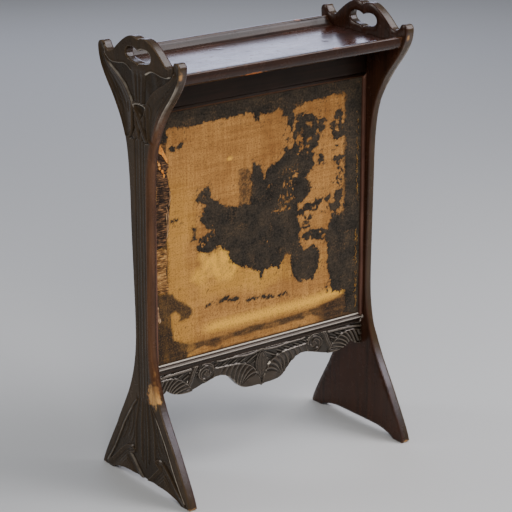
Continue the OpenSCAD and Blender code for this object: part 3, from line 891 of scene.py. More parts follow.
def polished(name, along, dark, mid, worn, coat=0.5):
    """Wood under old french polish: deep colour, cloudy gloss, fine scratches."""
    s = Stuff(name, Coat_Weight=coat, Coat_Roughness=0.14, Specular_IOR_Level=0.7 * coat)
    grain = s.noise(1.4, 6, 0.6, 0.8, stretch=GRAIN[along])
    cloud = s.noise(2.2, 4, 0.6, stretch=(3, 6, 6))
    fine = s.noise(190, 3, 0.6)
    spots = s.noise(55, 3, 0.7)
    scratch = s.noise(1.0, 2, 0.5, stretch=(9, 300, 60), turn=(0, 0, 0.16))
    colour = s.tones(grain, 0.3, 0.7, dark, mid)
    colour = s.mix(s.ramp(cloud, [(0.4, 0.0), (0.7, 0.6)]), colour, shade(*dark, by=0.6))
    pale_ridge = s.times(s.times(s.painted("ridge"), 6.0, True), s.ramp(spots, [(0.4, 0.15), (0.66, 1.0)]))
    colour = s.mix(pale_ridge, colour, shade(*worn))
    colour = s.mix(s.painted("bare"), colour, s.tones(grain, 0.3, 0.7, (190, 92, 38), (222, 140, 74)))
    dull = s.ramp(spots, [(0.58, 0.0), (0.7, 0.6)])
    s.bump(s.mix(0.5, s.mix(0.3, grain, scratch), fine), 0.00007)
    return s.finish(colour, s.mix(dull, s.ramp(cloud, [(0.35, 0.2), (0.7, 0.36)]), (0.6, 0.6, 0.6, 1)))


def woven(name, dark, light, thread, darkening=1.0):
    """Plain woven cloth: two sets of uneven threads, brown flecks, stains and rubbed places."""
    s = Stuff(name, Specular_IOR_Level=0.15)
    waves = []
    for axis, scale in (("X", (thread, 6, 0.35)), ("Z", (0.35, 6, thread))):
        where = s.add("ShaderNodeMapping", {"Vector": s.where, "Scale": scale}).outputs["Vector"]
        uneven = s.add("ShaderNodeTexNoise", {"Vector": s.where, "Scale": 60.0, "Detail": 2.0})
        bent = s.add("ShaderNodeVectorMath", operation="ADD")
        s.put(bent.inputs[0], where)
        s.put(bent.inputs[1], uneven.outputs["Color"])
        waves.append(s.add("ShaderNodeTexWave", {
            "Vector": bent.outputs[0], "Scale": 1.0, "Distortion": 0.4, "Detail": 1.0},
            wave_type="BANDS", bands_direction=axis).outputs["Fac"])
    weave = s.times(s.maths("ADD", *waves), 0.5)
    upright = s.noise(1.0, 4, 0.65, stretch=(170, 40, 10))
    level = s.noise(1.0, 4, 0.65, stretch=(10, 40, 170))
    cloud = s.noise(9, 5, 0.62)
    fine = s.noise(420, 3, 0.7)
    fleck = s.noise(270, 3, 0.62)
    streak = s.times(s.maths("ADD", upright, level), 0.5)
    tone = s.mean(streak, cloud, 0.6)
    clean_and_sheen = s.painted("clean_and_sheen")
    colour = s.tones(tone, 0.4, 0.6, dark, light)
    # brighter where the cloth is clean, and a painted sheen on the crest of the fold
    colour = s.mix(clean_and_sheen, colour, shade(*light, by=(1.24, 1.28, 0.94)))
    speckled = s.ramp(fleck, [(0.5, 0.0), (0.6, 0.42), (0.72, 0.8)])
    speckled = s.mix(s.times(clean_and_sheen, 0.5), speckled, (0, 0, 0, 1))
    colour = s.mix(speckled, colour, shade(*dark, by=(0.62, 0.58, 0.55)))
    between = s.times(s.ramp(weave, [(0.0, 1.0), (0.5, 0.0)]), 0.3)
    colour = s.mix(between, colour, shade(*dark, by=0.5))
    # darker where the cloth is soiled, and painted shade under the fold
    darkened = s.times(s.painted("darkening"), darkening)
    darkened = s.times(darkened, s.ramp(streak, [(0.36, 0.82), (0.56, 1.0)]))
    darkened = s.times(darkened, s.ramp(fleck, [(0.3, 0.75), (0.5, 1.0)]))
    colour = s.mix(darkened, colour, s.tones(cloud, 0.4, 0.62, (44, 37, 33), (62, 50, 40)))
    s.bump(s.mix(0.25, weave, fine), 0.0005, 0.7)
    return s.finish(colour, s.ramp(cloud, [(0.3, 0.75), (0.7, 0.95)]))


def pile(name, dark, light, bald):
    """The worn pile of the face cloth: greyish tufts, with brown foundation threads showing."""
    s = Stuff(name, Specular_IOR_Level=0.12)
    cloud = s.noise(21, 5, 0.7)
    upright = s.noise(1.0, 4, 0.65, stretch=(420, 60, 34))
    level = s.noise(1.0, 3, 0.6, stretch=(30, 60, 330))
    fine = s.noise(520, 3, 0.7)
    tuft = s.noise(300, 3, 0.62)
    threads = s.times(s.maths("ADD", upright, level), 0.5)
    tone = s.maths("ADD", s.times(cloud, 0.3), s.times(threads, 0.3))
    tone = s.maths("ADD", tone, s.times(tuft, 0.4))
    colour = s.tones(tone, 0.4, 0.6, dark, light)
    brown = s.times(s.ramp(cloud, [(0.44, 0.0), (0.64, 0.7)]), s.ramp(tuft, [(0.44, 0.2), (0.6, 1.0)]))
    colour = s.mix(brown, colour, shade(*[blend(0.6, a, b) for a, b in zip(light, bald)]))
    bare = s.maths("ADD", s.painted("bald"), s.times(s.maths("SUBTRACT", tuft, 0.5), 2.2))
    colour = s.mix(s.ramp(bare, [(0.45, 0.0), (1.0, 0.85)]), colour, shade(*bald))
    s.bump(s.mix(0.5, threads, fine), 0.0007, 0.8)
    return s.finish(colour, s.ramp(fine, [(0.3, 0.8), (0.7, 1.0)]))


def thread_stuff(name, dark, mid, light, along="x"):
    """Frayed or torn cloth, with its threads running one way."""
    s = Stuff(name, Specular_IOR_Level=0.2)
    strands = s.noise(1.0, 4, 0.68, stretch=(50, 60, 420) if along == "x" else (420, 60, 50))
    tone = s.mean(strands, s.noise(70, 4, 0.65), 0.6)
    colour = s.tones(tone, 0.4, 0.62, dark, mid, light)
    # painted shade in the creases between the ribs
    hollow = s.times(s.painted("ridge"), -3.0, True)
    colour = s.mix(hollow, colour, shade(14, 9, 6))
    s.bump(strands, 0.0006, 0.9)
    return s.finish(colour, s.ramp(strands, [(0.3, 0.6), (0.7, 0.95)]))


def steel_stuff(name, clean, rusty):
    """Plain steel with rust in patches."""
    s = Stuff(name, Metallic=0.8)
    cloud = s.noise(260, 4, 0.65)
    s.bump(cloud, 0.0002)
    return s.finish(s.tones(cloud, 0.4, 0.62, clean, rusty), s.ramp(cloud, [(0.3, 0.35), (0.7, 0.75)]))


FILLET_TONES = (58, 40, 26), (96, 68, 44), (128, 96, 66)
INNER_TONES = (150, 112, 70), (190, 150, 102), (206, 168, 120)
# the third colour of each wood is the pale colour of its ridges, which also paints highlights
CARVED = wood("carved_wood", "z", (56, 43, 28), (74, 57, 38), (132, 112, 88), rough=(0.18, 0.32), wear_and_glint=0.3,
              grime_and_shade=0.6, depth=0.00004, glint=0.6)
APRON = wood("apron_wood", "x", (38, 31, 23), (60, 49, 38), (186, 174, 158), rough=(0.11, 0.22), wear_and_glint=0.45,
             depth=0.00004, glint=0.7, shine=0.6)
RAIL = wood("rail_wood", "x", (26, 16, 11), (46, 29, 20), (92, 54, 34), wear_and_glint=0.6, depth=0.0001)
MOULD = wood("mould_wood", "x", (34, 24, 18), (58, 44, 34), (226, 212, 198), rough=(0.14, 0.26),
             depth=0.00005, glint=0.9, shine=0.32)
BEAD = wood("bead_wood", "z", (80, 50, 40), (110, 75, 60), (138, 98, 80), wear_and_glint=0.6, depth=0.0001)
FILLET_X = wood("fillet_wood", "x", *FILLET_TONES, rough=(0.5, 0.7), wear_and_glint=0.4)
FILLET_Z = wood("fillet_wood_z", "z", *FILLET_TONES, rough=(0.5, 0.7), wear_and_glint=0.4)
INNER = wood("inner_wood", "x", *INNER_TONES, rough=(0.6, 0.8), wear_and_glint=0.3)
INNER_Z = wood("inner_wood_z", "z", *INNER_TONES, rough=(0.6, 0.8))
DOWEL = wood("dowel_wood", "x", (160, 124, 80), (200, 164, 114), (210, 176, 126), rough=(0.6, 0.8))
SHELF = polished("shelf_wood", "x", (44, 20, 15), (84, 42, 30), (120, 66, 44))
RIM = polished("rim_wood", "x", (31, 19, 14), (61, 38, 27), (128, 88, 64), coat=0.24)
GROUND = woven("ground_cloth", (156, 106, 54), (206, 150, 84), 420)
LINING = woven("lining_cloth", (108, 92, 68), (142, 124, 96), 300, darkening=0.6)
PILE = pile("face_cloth", (34, 31, 27), (68, 61, 52), (112, 82, 50))
STRIP = thread_stuff("torn_strip", (22, 15, 11), (60, 42, 30), (156, 112, 74))
SCRAP = thread_stuff("torn_scraps", (34, 22, 14), (142, 98, 52), (214, 164, 98))
FLAP = thread_stuff("torn_flap", (196, 112, 40), (228, 150, 68), (246, 190, 112), "z")
CURL = thread_stuff("curled_edge", (92, 66, 46), (166, 128, 92), (214, 182, 140), "z")
GOLD = thread_stuff("gold_threads", (84, 54, 22), (160, 112, 50), (220, 176, 98), "z")
STEEL = steel_stuff("steel", (120, 112, 104), (74, 56, 42))

# ------------------------------------------------------------------ straight pieces


def roughen(piece, amount, size, seed, stretch):
    """Moves each point along its normal by a small repeatable noise, as hand work would."""
    mesh = piece.data
    co = point_values(mesh, "co")
    where = co / MM / size / np.array(stretch)
    co = co + point_values(mesh, "normal") * fractal(where, seed, 3)[:, None] * amount * MM
    mesh.vertices.foreach_set("co", co.ravel())
    mesh.update()


def loft(name, section, start, end, along, material, step, slope=(0, 0), spots=None):
    """A moulding with this section, from start to end along x or z, mitred by slope at its ends.

    The section is a closed loop of (y, z) or of (x, y) points. A slope is how far an end moves
    for each unit of the section's z, or of its x. spots gives attributes for the points.
    """
    k = len(section)
    count = max(2, int(round((end - start) / step)) + 1)
    cross = section[:, 1] if along == "x" else section[:, 0]
    first = start + slope[0] * cross
    last = end + slope[1] * cross
    share = np.linspace(0, 1, count)[:, None]
    run = (first + (last - first) * share).ravel()
    tiled = np.tile(section, (count, 1))
    verts = np.column_stack([run, tiled] if along == "x" else [tiled, run])
    i = np.arange(k)
    j = (i + 1) % k
    bands = [np.stack([r * k + i, r * k + j, (r + 1) * k + j, (r + 1) * k + i], -1)
             for r in range(count - 1)]
    _, cap = triangulate([section], [])
    faces = np.concatenate(bands).tolist() + cap.tolist() + (cap + (count - 1) * k).tolist()
    piece = new_object(name, verts, faces, material, spots(verts) if spots else {})
    face_outwards(piece)
    return piece


def cross_piece(name, section, material, step, **more):
    """A straight moulding from one upright to the other."""
    return loft(name, section, -INNER_X, INNER_X, "x", material, step, **more)


def rectangle(low, high, radii, n=5):
    """A closed rectangle with its corners rounded, in order from the low one, by their own radii."""
    (x0, y0), (x1, y1) = low, high
    corners = np.array([(x0, y0), (x1, y0), (x1, y1), (x0, y1)])
    out = []
    for k, r in enumerate(radii):
        p, a, b = corners[k], corners[k - 1], corners[(k + 1) % 4]
        to_a = (a - p) / np.linalg.norm(a - p)
        to_b = (b - p) / np.linalg.norm(b - p)
        for t in np.linspace(0, 1, n) if r else [0]:
            out.append((1 - t) ** 2 * (p + r * to_a) + 2 * t * (1 - t) * p + t**2 * (p + r * to_b))
    return np.array(out)


def spot(verts, at, size, seed):
    """A ragged worn spot, from 1 at its middle to 0."""
    d = np.linalg.norm((verts - at) / size, axis=1)
    return smooth(1.6 * (1 - d + 0.5 * fractal(verts / 6, seed, 3)))


def finish_piece(piece, node, roughness, stretch=(6, 1, 1)):
    roughen(piece, *roughness, stretch)
    add_ridges(piece)
    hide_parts(node)


DENTS = (-60, 65, 6, 0.9), (180, -10, 7, 0.8), (60, 20, 4, 0.4)


def make_shelf():
    """The board with a few dents, and its two rims with worn spots."""
    board = rectangle((-BOARD_HALF, SHELF_UNDER), (BOARD_HALF, SHELF_Z), [0, 0, 0, 0])
    piece = cross_piece("shelf_top", closed(board, 5), SHELF, 5)
    for vertex in piece.data.vertices:
        x, y, z = np.array(vertex.co) / MM
        if z > SHELF_Z - 0.5:
            for at_x, at_y, size, deep in DENTS:
                z -= deep * math.exp(-((x - at_x) ** 2 + (y - at_y) ** 2) / size**2)
        vertex.co.z = z * MM
    finish_piece(piece, "shelf_board", roughness=(0.12, 50, 2), stretch=(4, 1, 1))

    def lip(rim_z):
        """A rim's section: quarter-round outside, rounded on top, hollow down to the board inside."""
        return closed(chain(
            (BOARD_HALF, SHELF_UNDER), arc((SHELF_HALF - 16, SHELF_UNDER + 16), 16, -90, 0, 14),
            arc((SHELF_HALF - 3, rim_z - 3), 3, 0, 90, 6), arc((SHELF_HALF - 9, rim_z - 3), 3, 90, 150, 5),
            curve((SHELF_HALF - 12, rim_z - 4), (BOARD_HALF + 15, SHELF_Z + 5),
                  (BOARD_HALF + 8, SHELF_Z), (BOARD_HALF, SHELF_Z), 12), (BOARD_HALF, SHELF_Z)), 2.0)

    def front_spots(verts):
        low = spot(verts, (-112, -SHELF_HALF + 5, SHELF_UNDER + 3), (42, 9, 5), 61)
        up = spot(verts, (112, -SHELF_HALF + 6, FRONT_RIM_Z), (13, 6, 4), 62)
        nick = spot(verts, (-258, -SHELF_HALF + 8, FRONT_RIM_Z), (8, 6, 4), 63)
        return {"bare": np.maximum.reduce([0.8 * low, 0.6 * up, 0.6 * nick])}

    def rear_spots(verts):
        return {"bare": 0.5 * spot(verts, (210, SHELF_HALF - 8, REAR_RIM_Z), (10, 6, 4), 64)}

    rear = cross_piece("rear_lip", lip(REAR_RIM_Z), RIM, 5, spots=rear_spots)
    finish_piece(rear, "shelf_rear_rim", roughness=(0.2, 26, 3))
    front = cross_piece("front_lip", mirrored(lip(FRONT_RIM_Z))[::-1], RIM, 5, spots=front_spots)
    finish_piece(front, "shelf_front_rim", roughness=(0.2, 26, 4))


def make_rails():
    """The frieze, the bottom rail and its moulding, and the beads."""
    board = rectangle((FRIEZE_Y, FRIEZE_Z), (FRIEZE_REAR_Y, SHELF_UNDER), [1.5, 0.8, 0, 0])
    piece = cross_piece("frieze_board", closed(board, 5), RAIL, 7)
    finish_piece(piece, "frieze_rail", roughness=(0.15, 30, 5))

    board = rectangle((MOULD_REAR_Y, SILL_UNDER), (SILL_REAR_Y, SILL_Z), [0, 0.8, 0.8, 0])
    piece = cross_piece("sill_board", closed(board, 4), RAIL, 7)
    finish_piece(piece, "bottom_rail", roughness=(0.12, 30, 6))

    nose, slope_z = FACE_Y - SLOPE_H, SILL_Z - SLOPE_H
    section = chain(
        (MOULD_REAR_Y, SILL_UNDER), (MOULD_REAR_Y, SILL_Z), (FACE_Y, SILL_Z),
        (FACE_Y - 3.0, SILL_Z - 3.0), (FACE_Y - 2.4, SILL_Z - 4.6), (FACE_Y - 4.6, SILL_Z - 4.6),
        arc((nose + 1, slope_z - 1.5), 1.6, 120, 250, 7),
        arc((nose + 2.4, slope_z - 4.2), 1.5, 120, 270, 7),
        curve((nose + 3.5, slope_z - 6), (nose + 7, slope_z - 8),
              (FACE_Y, SILL_UNDER + 6), (FACE_Y, SILL_UNDER + 3), 8), (FACE_Y, SILL_UNDER))

    # painted highlights: pale lines along the top edge of the bevel and along its nose
    def painted_mould_glints(verts):
        y, z = verts[:, 1], verts[:, 2]
        top = smooth((z - SILL_Z + 2.6) / 1.2) * smooth(FACE_Y + 1 - y)
        low = 0.5 * smooth(1 - np.abs(z - (slope_z - 0.4)) / 1.4) * smooth(nose + 2.5 - y)
        return {"bright": np.maximum(0.8 * top, low)}

    piece = cross_piece("sill_mould", closed(section, 0.9), MOULD, 4, spots=painted_mould_glints)
    finish_piece(piece, "bottom_moulding", roughness=(0.18, 18, 7))
    make_beads()


def make_beads():
    """The beads round the panel: one under the frieze and one down each side, mitred at the corners."""
    half = closed(chain(
        (0, 0), curve((BEAD_W, 0), (BEAD_W, 4), (BEAD_W - 1, BEAD_T), (BEAD_W / 2, BEAD_T), 10),
        curve((BEAD_W / 2, BEAD_T), (2, BEAD_T), (0, BEAD_T - 1), (0, BEAD_T - 2), 6)), 1.0)
    top = np.stack([FACE_Y - half[:, 1], FRIEZE_Z - half[:, 0]], -1)
    run = INNER_X - FRIEZE_Z

    def warm_edge(verts):
        return {"warm": smooth((FRIEZE_Z - 5 - verts[:, 2]) / 3)}

    piece = loft("top_bead", top, -run, run, "x", RAIL, 5, slope=(-1, 1), spots=warm_edge)
    finish_piece(piece, "frieze_bead", roughness=(0.12, 20, 8))
    for name, side in (("right_bead", 1), ("left_bead", -1)):
        section = np.stack([side * (INNER_X - half[:, 0]), FACE_Y - half[:, 1]], -1)
        piece = loft(name + "_strip", section, SILL_Z - SLOPE_H, FRIEZE_Z - INNER_X, "z", BEAD, 5,
                     slope=(0, side))
        # the foot of the bead is scribed to the bevel under it
        for vertex in piece.data.vertices:
            depth = FACE_Y - vertex.co.y / MM
            if vertex.co.z / MM < SILL_Z - SLOPE_H + 0.1:
                vertex.co.z = (SILL_Z - depth) * MM
        finish_piece(piece, name, roughness=(0.12, 20, 9), stretch=(1, 1, 6))


def make_back():
    """The four fillets that hold the panel from behind."""
    for name in ("rear_top_fillet", "rear_bottom_fillet", "rear_left_fillet", "rear_right_fillet"):
        low, high = corners_mm(name)
        if "top" in name or "bottom" in name:
            section = rectangle(low[1:], high[1:], [0, 1.2, 1.2, 0])
            piece = loft(name + "_strip", closed(section, 3), low[0], high[0], "x", FILLET_X, 7)
            stretch = (6, 1, 1)
        else:
            section = rectangle(low[:2], high[:2], [0, 0, 1.2, 1.2])
            piece = loft(name + "_strip", closed(section, 3), low[2], high[2], "z", FILLET_Z, 7)
            stretch = (1, 1, 6)
        finish_piece(piece, name, roughness=(0.15, 25, 11), stretch=stretch)


# ------------------------------------------------------------------ carved apron


def apron_edge():
    """The apron's outline: a point in the middle, a hump at each side and a lobe at each end."""
    half = chain(
        path((0, APRON_UNDER), [(5, 181), (30, 173), (52, 180)], [(70, 186), (76, 202), (88, 211)],
             [(98, 219), (106, 225), (120, 225)], [(156, 225), (178, 205), (212, 205)],
             [(240, 205), (258, 212), (268, 225)], [(272, 217), (284, 210), (INNER_X, 209)]),
        (INNER_X, SILL_UNDER), (0, SILL_UNDER))
    return chain(half, mirrored(half[1:-1])[::-1])


MID_SIDE = curve((0, 263), (20, 246), (22, 214), (0, 190))
WIDE_TOP = path((12, 206), [(22, 232), (50, 243), (84, 244)], [(104, 245), (120, 246), (136, 246)])
FIELD_TOP = path((0, 263), [(20, 256), (48, 256), (66, 259)], [(96, 262), (112, 258), (128, 262)])
SCROLL_IN = path((136, 246), [(146, 262), (168, 262), (178, 246)], [(182, 236), (174, 226), (162, 228)])
EYE = path((150, 238), [(152, 246), (162, 247), (165, 240)], [(165, 234), (154, 232), (150, 238)])[:-1]
RIBBON = path((186, 262), [(196, 248), (198, 226), (216, 214)])
END_TOP = path((200, 214), [(214, 232), (232, 246), (254, 250)], [(270, 252), (284, 248), (298, 244)])
END_RIDGE = path((200, 259), [(230, 258), (262, 259), (298, 253)])


def apron_carving(p, edge):
    """Depth of the carving on the apron's front, at points given as (x, z)."""
    x, z = p.T
    a = np.abs(x)
    sym = np.stack([a, z], -1)
    h = -4.8 + 1.3 * np.sin((a * 0.5 + z) * 0.42) * smooth((z - 230) / 8)

    # the raised border along the top
    top = distance(sym, FIELD_TOP)
    h = np.where((a < 128) & (z > 248), np.maximum(h, -0.5 - 3.6 * (top / 3.6) ** 2), h)
    h = np.where((a < 130) & (z > 259), np.maximum(h, -2.6), h)

    # the wide leaf: gadrooned ribs that sweep from its upper edge to the outline
    to_top, along = past(sym, WIDE_TOP, (136, 200), (88, 160), (-4, 160), (6, 196))
    rib = (along - 0.75 * to_top) / 15.5 + 0.3 * (to_top / 20) ** 2
    ribs = np.sin(math.pi * (rib % 1.0) ** 0.6) ** 0.9
    fade = smooth((136 - a) / 30)
    body = -3.0 + 2.9 * ribs * fade - 1.2 * smooth((to_top - 26) / 14)
    body = np.maximum(body, -0.2 - 2.4 * smooth((to_top - 1.2) / 2.4))
    h = blend(step_up(to_top), body, h)

    # the middle blade, with a groove down its spine
    to_side = past(sym, MID_SIDE, (0, 190), (-5, 190), (-5, 263))[0]
    form = -2.6 + 2.5 * smooth(to_side / 6.0) - 1.6 * smooth(1 - a / 2.0)
    form = np.maximum(form, -0.5 - 1.8 * smooth((to_side - 0.8) / 1.6)) + 0.4 * np.sin(to_side * 1.7)
    h = blend(step_up(to_side), form, h - 1.6 * smooth(1 + to_side / 3.0) * (z < 262))

    # the scroll with its eye
    d = np.hypot(a - 157, z - 240)
    inner = distance(sym, SCROLL_IN)
    turn = np.arctan2(z - 240, a - 157)
    coil = -0.4 - 2.6 * np.abs(np.sin((d / 23 + 0.5 * turn / math.pi) * math.pi * 1.5)) ** 1.4
    coil = np.maximum(coil, -0.1 - 3.2 * smooth(inner / 3.0))
    h = np.where(d < 25, np.maximum(coil, -4.0), h)
    eye = signed(sym, EYE)
    h = np.where(eye > -3, np.maximum(h, -2.6 + 2.5 * smooth((eye + 3) / 5)), h)

    # the ribbon and the end leaf
    ribbon = distance(sym, RIBBON)
    fluted = -0.3 - 2.8 * (ribbon / 8) ** 2 - 1.3 * smooth(1 - ribbon / 1.5)
    h = np.maximum(h, np.where(ribbon < 8, fluted, FALLS))
    to_end, along_end = past(sym, END_TOP, (310, 244), (310, 200), (212, 196), (196, 205))
    ribs = np.sin(math.pi * (((along_end - 0.9 * to_end) / 14.0) % 1.0) ** 0.6) ** 0.9
    body = np.maximum(-3.1 + 3.0 * ribs, -0.2 - 2.8 * smooth((to_end - 1.0) / 2.2))
    h = blend(step_up(to_end), body, h)
    ridge = distance(sym, END_RIDGE)
    h = np.maximum(h, np.where(ridge < 4.5, -0.4 - 3.4 * (ridge / 4.5) ** 2, FALLS))
    return np.minimum(h.clip(-5.6, 0) + 0.12 * fractal(p / 9, 21, 3) * smooth(edge / 4), 0)


def make_apron():
    half = [WIDE_TOP, MID_SIDE, FIELD_TOP, SCROLL_IN, RIBBON, END_TOP]
    creases = half + [mirrored(line) for line in half]
    points, faces, sunk, _ = relief_solid(
        [apron_edge()], creases, apron_carving, step=1.5, front=-APRON_Y, back=-APRON_REAR_Y,
        arris=1.6, back_arris=1.0, wall_rows=5)
    verts = np.column_stack([points[:, 0], -points[:, 2], points[:, 1]])
    piece = new_object("apron_carving", verts, faces, APRON, {"sunk": sunk})
    face_outwards(piece)
    add_ridges(piece)
    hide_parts("carved_apron")


# ------------------------------------------------------------------ the stretched panel


def from_border(x, z):
    """Distance to the nearest edge of the panel."""
    return np.minimum.reduce([PANEL_X - np.abs(x), PANEL_TOP - z, z - PANEL_LOW])


def cloth_y(x, z):
    """Depth of the ground cloth's front: near flat, with a slack fold low down and soft ripples."""
    p = np.stack([x, z], -1)
    edge = smooth(from_border(x, z) / 22)
    crest = 338 + 5 * lattice(p / [130, 900], 31) + 10 * smooth((x - 150) / 100)
    t = (z - crest) / np.where(z > crest, 28, 15)
    span = smooth((PANEL_X - 20 - np.abs(x)) / 110)
    fold = 5.0 * np.exp(-t * t) * span
    ripple = 0.5 * fractal(p / [90, 70], 32, 3) + 0.35 * fractal(p / [300, 22], 33, 2)
    hair = 0.08 * fractal(p / 5, 34, 2)
    return GROUND_Y - edge * (fold + ripple) - hair


def weld(points, faces):
    """Joins points that lie at the same place."""
    key = np.round(points / 0.01).astype(np.int64)
    _, first, back = np.unique(key, axis=0, return_index=True, return_inverse=True)
    return points[first], back.ravel()[faces]


def thin_solid(name, fronts, backs, faces, rim, material, attributes):
    """A closed thin piece: a surface, the same one behind it, and a strip along its rim edges."""
    n = len(fronts)
    skirt = [[b, a, a + n, b + n] for a, b in rim]
    behind = [[v + n for v in face[::-1]] for face in faces]
    doubled = {key: np.r_[value, value] for key, value in attributes.items()}
    piece = new_object(name, np.concatenate([fronts, backs]), faces + skirt + behind, material, doubled)
    face_outwards(piece)
    return piece


def thicken(name, points, faces, thick, material, attributes):
    """A closed thin sheet of even thickness from an open surface of quads."""
    mesh = bpy.data.meshes.new("surface")
    mesh.from_pydata(points.tolist(), [], faces.tolist())
    backs = points - point_values(mesh, "normal") * thick
    bpy.data.meshes.remove(mesh)
    pairs = np.concatenate([faces[:, [i, (i + 1) % 4]] for i in range(4)])
    code = np.sort(pairs, axis=1) @ [len(points) + 1, 1]
    _, first, count = np.unique(code, return_index=True, return_counts=True)
    rim = pairs[first[count == 1]].tolist()
    return thin_solid(name, points, backs, faces.tolist(), rim, material, attributes)


def grid_faces(nu, nv):
    """The quads of a grid of nu by nv points."""
    i, j = np.meshgrid(np.arange(nu - 1), np.arange(nv - 1), indexing="ij")
    a = (i * nv + j).ravel()
    return np.stack([a, a + nv, a + nv + 1, a + 1], -1)


def shape_field(p, loops, seed, rough):
    """The greatest signed distance into any of the loops, made ragged by noise."""
    best = np.full(len(p), -1e3)
    for loop in loops:
        best = np.maximum(best, signed(p, np.array(loop, float)))
    return best + rough * (fractal(p / 30, seed, 3) + 0.7 * fractal(p / 9, seed + 5, 3))


DARK_SHAPES = [
    # the great patch in the middle
    [(-178, 546), (-170, 536), (-148, 525), (-118, 536), (-92, 518), (-88, 486), (-50, 473),
     (-22, 462), (-4, 452), (1, 438), (8, 454), (28, 456), (52, 450), (60, 466), (72, 480),
     (84, 470), (86, 444), (98, 414), (112, 404), (156, 404), (160, 422), (170, 448), (168, 466),
     (150, 480), (120, 480), (110, 504), (112, 552), (102, 566), (106, 594), (124, 604),
     (146, 626), (132, 646), (126, 656), (156, 680), (148, 712), (166, 742), (172, 752),
     (186, 766), (182, 780), (150, 796), (120, 806), (96, 806), (76, 800), (74, 782), (96, 772),
     (88, 754), (104, 748), (92, 732), (66, 730), (60, 710), (44, 702), (20, 694), (8, 668),
     (-4, 704), (-22, 710), (-30, 694), (-28, 618), (-70, 620), (-100, 624), (-120, 636),
     (-142, 652), (-146, 676), (-166, 672), (-182, 654), (-166, 644), (-152, 640), (-162, 622),
     (-168, 600), (-140, 576), (-172, 564)],
    # the borders
    [(-300, 834), (-240, 829), (-215, 824), (-190, 826), (-160, 828), (-100, 830), (-40, 829),
     (-22, 826), (-18, 808), (-6, 806), (-2, 826), (14, 820), (30, 818), (40, 826), (62, 822),
     (60, 808), (84, 806), (94, 820), (98, 834), (110, 826), (124, 830), (170, 832), (205, 836),
     (238, 834), (246, 826), (242, 806), (246, 776), (236, 770), (240, 746), (246, 700),
     (243, 640), (246, 600), (240, 566), (246, 556), (226, 546), (208, 550), (194, 516),
     (190, 496), (198, 474), (192, 434), (204, 384), (208, 358), (246, 352), (248, 300),
     (300, 280), (300, 880), (-300, 880)],
    [(-300, 880), (-300, 800), (-258, 796), (-256, 822), (-240, 832), (-230, 880)],
    # islands at the right
    [(212, 794), (224, 797), (236, 784), (232, 766), (220, 768), (210, 782)],
    [(198, 768), (214, 772), (224, 764), (246, 762), (246, 732), (220, 728), (206, 742)],
    [(210, 686), (224, 690), (238, 676), (226, 662), (212, 670)],
    [(212, 642), (228, 646), (234, 628), (218, 620)],
    [(214, 606), (232, 608), (238, 584), (222, 576), (212, 588)],
    [(196, 572), (216, 578), (232, 566), (214, 556), (202, 560)],
    [(166, 702), (177, 700), (179, 684), (168, 678)],
    [(116, 508), (150, 498), (186, 502), (190, 516), (150, 524), (118, 520)],
    [(104, 576), (130, 588), (168, 597), (198, 601), (199, 592), (160, 584), (136, 574), (112, 566)],
    [(120, 545), (130, 562), (142, 556), (138, 536), (124, 532)],
    # loose bits beside the middle
    [(-191, 590), (-180, 592), (-181, 562), (-191, 562)],
    [(-251, 787), (-240, 789), (-235, 780), (-247, 778)],
    [(-231, 782), (-216, 794), (-211, 789), (-224, 777)],
]
BALD_SHAPES = [
    [(28, 590), (72, 597), (78, 588), (60, 584), (28, 581)],
    [(50, 600), (92, 618), (98, 606), (60, 596)],
    [(60, 612), (68, 616), (70, 664), (63, 668)],
    [(88, 672), (104, 678), (108, 662), (94, 658)],
    [(104, 714), (130, 722), (124, 742), (108, 746)],
    [(58, 762), (80, 770), (84, 784), (66, 784)],
    [(-166, 668), (-156, 668), (-154, 654), (-166, 654)],
    [(12, 652), (28, 656), (26, 648), (14, 644)],
    [(116, 534), (150, 532), (176, 528), (176, 536), (150, 540), (118, 542)],
]
MOTTLED = [
    [(92, 700), (190, 690), (200, 806), (64, 808), (52, 740)],
    [(106, 470), (192, 470), (196, 524), (108, 530)],
    [(196, 600), (244, 600), (244, 800), (196, 800)],
    [(100, 540), (206, 540), (206, 604), (100, 604)],
]
SPARSE = [
    [(6, 524), (30, 526), (32, 500), (8, 500)],
    [(38, 586), (104, 620), (112, 700), (60, 690)],
    [(-180, 556), (-130, 600), (-120, 560), (-170, 530)],
]
BROWN = [(-63, 702), (-38, 706), (-27, 690), (-26, 612), (-64, 610)]
DASHES = [((-116, 405), (-96, 409), 3.4), ((-92, 402), (-66, 399), 2.6), ((-42, 390), (-12, 391), 1.8),
          ((4, 390), (34, 384), 3.2), ((50, 383), (74, 383), 2.0), ((-154, 402), (-142, 403), 1.6),
          ((-3, 452), (1, 436), 3.0), ((-251, 619), (-234, 618), 2.0), ((192, 380), (193, 362), 1.4)]


def pile_field(p):
    """Positive where the face cloth's pile is left."""
    f = shape_field(p, DARK_SHAPES, 41, 4.0)
    mottled = smooth(shape_field(p, MOTTLED, 43, 8.0) / 12)
    f = blend(mottled, np.clip(f, -6, 3.5), f)
    near = smooth(1.5 - np.abs(f) / 22)
    f += (4.5 + 9.0 * mottled) * fractal(p / 9.5, 44, 2) * near
    bald = shape_field(p, BALD_SHAPES, 45, 6.0) + 7 * fractal(p / [11, 3.4], 48, 2)
    f = np.minimum(f, 2.5 - 0.6 * bald)
    thin = smooth(shape_field(p, SPARSE, 48, 4.0) / 6)
    f = np.where(thin > 0, np.minimum(f, 12 - 9.0 * thin + 9 * fractal(p / [3.2, 10], 49, 2)), f)
    for a, b, wide in DASHES:
        d = distance(p, np.array([a, b], float))
        f = np.maximum(f, wide - d + 2.2 * fractal(p / 5, 46, 2))
    fine = fractal(p / 3.7, 47, 2)
    return f + (3.2 * fine + 11.0 * fine * np.abs(fine)) * smooth(1.4 - np.abs(f) / 12)


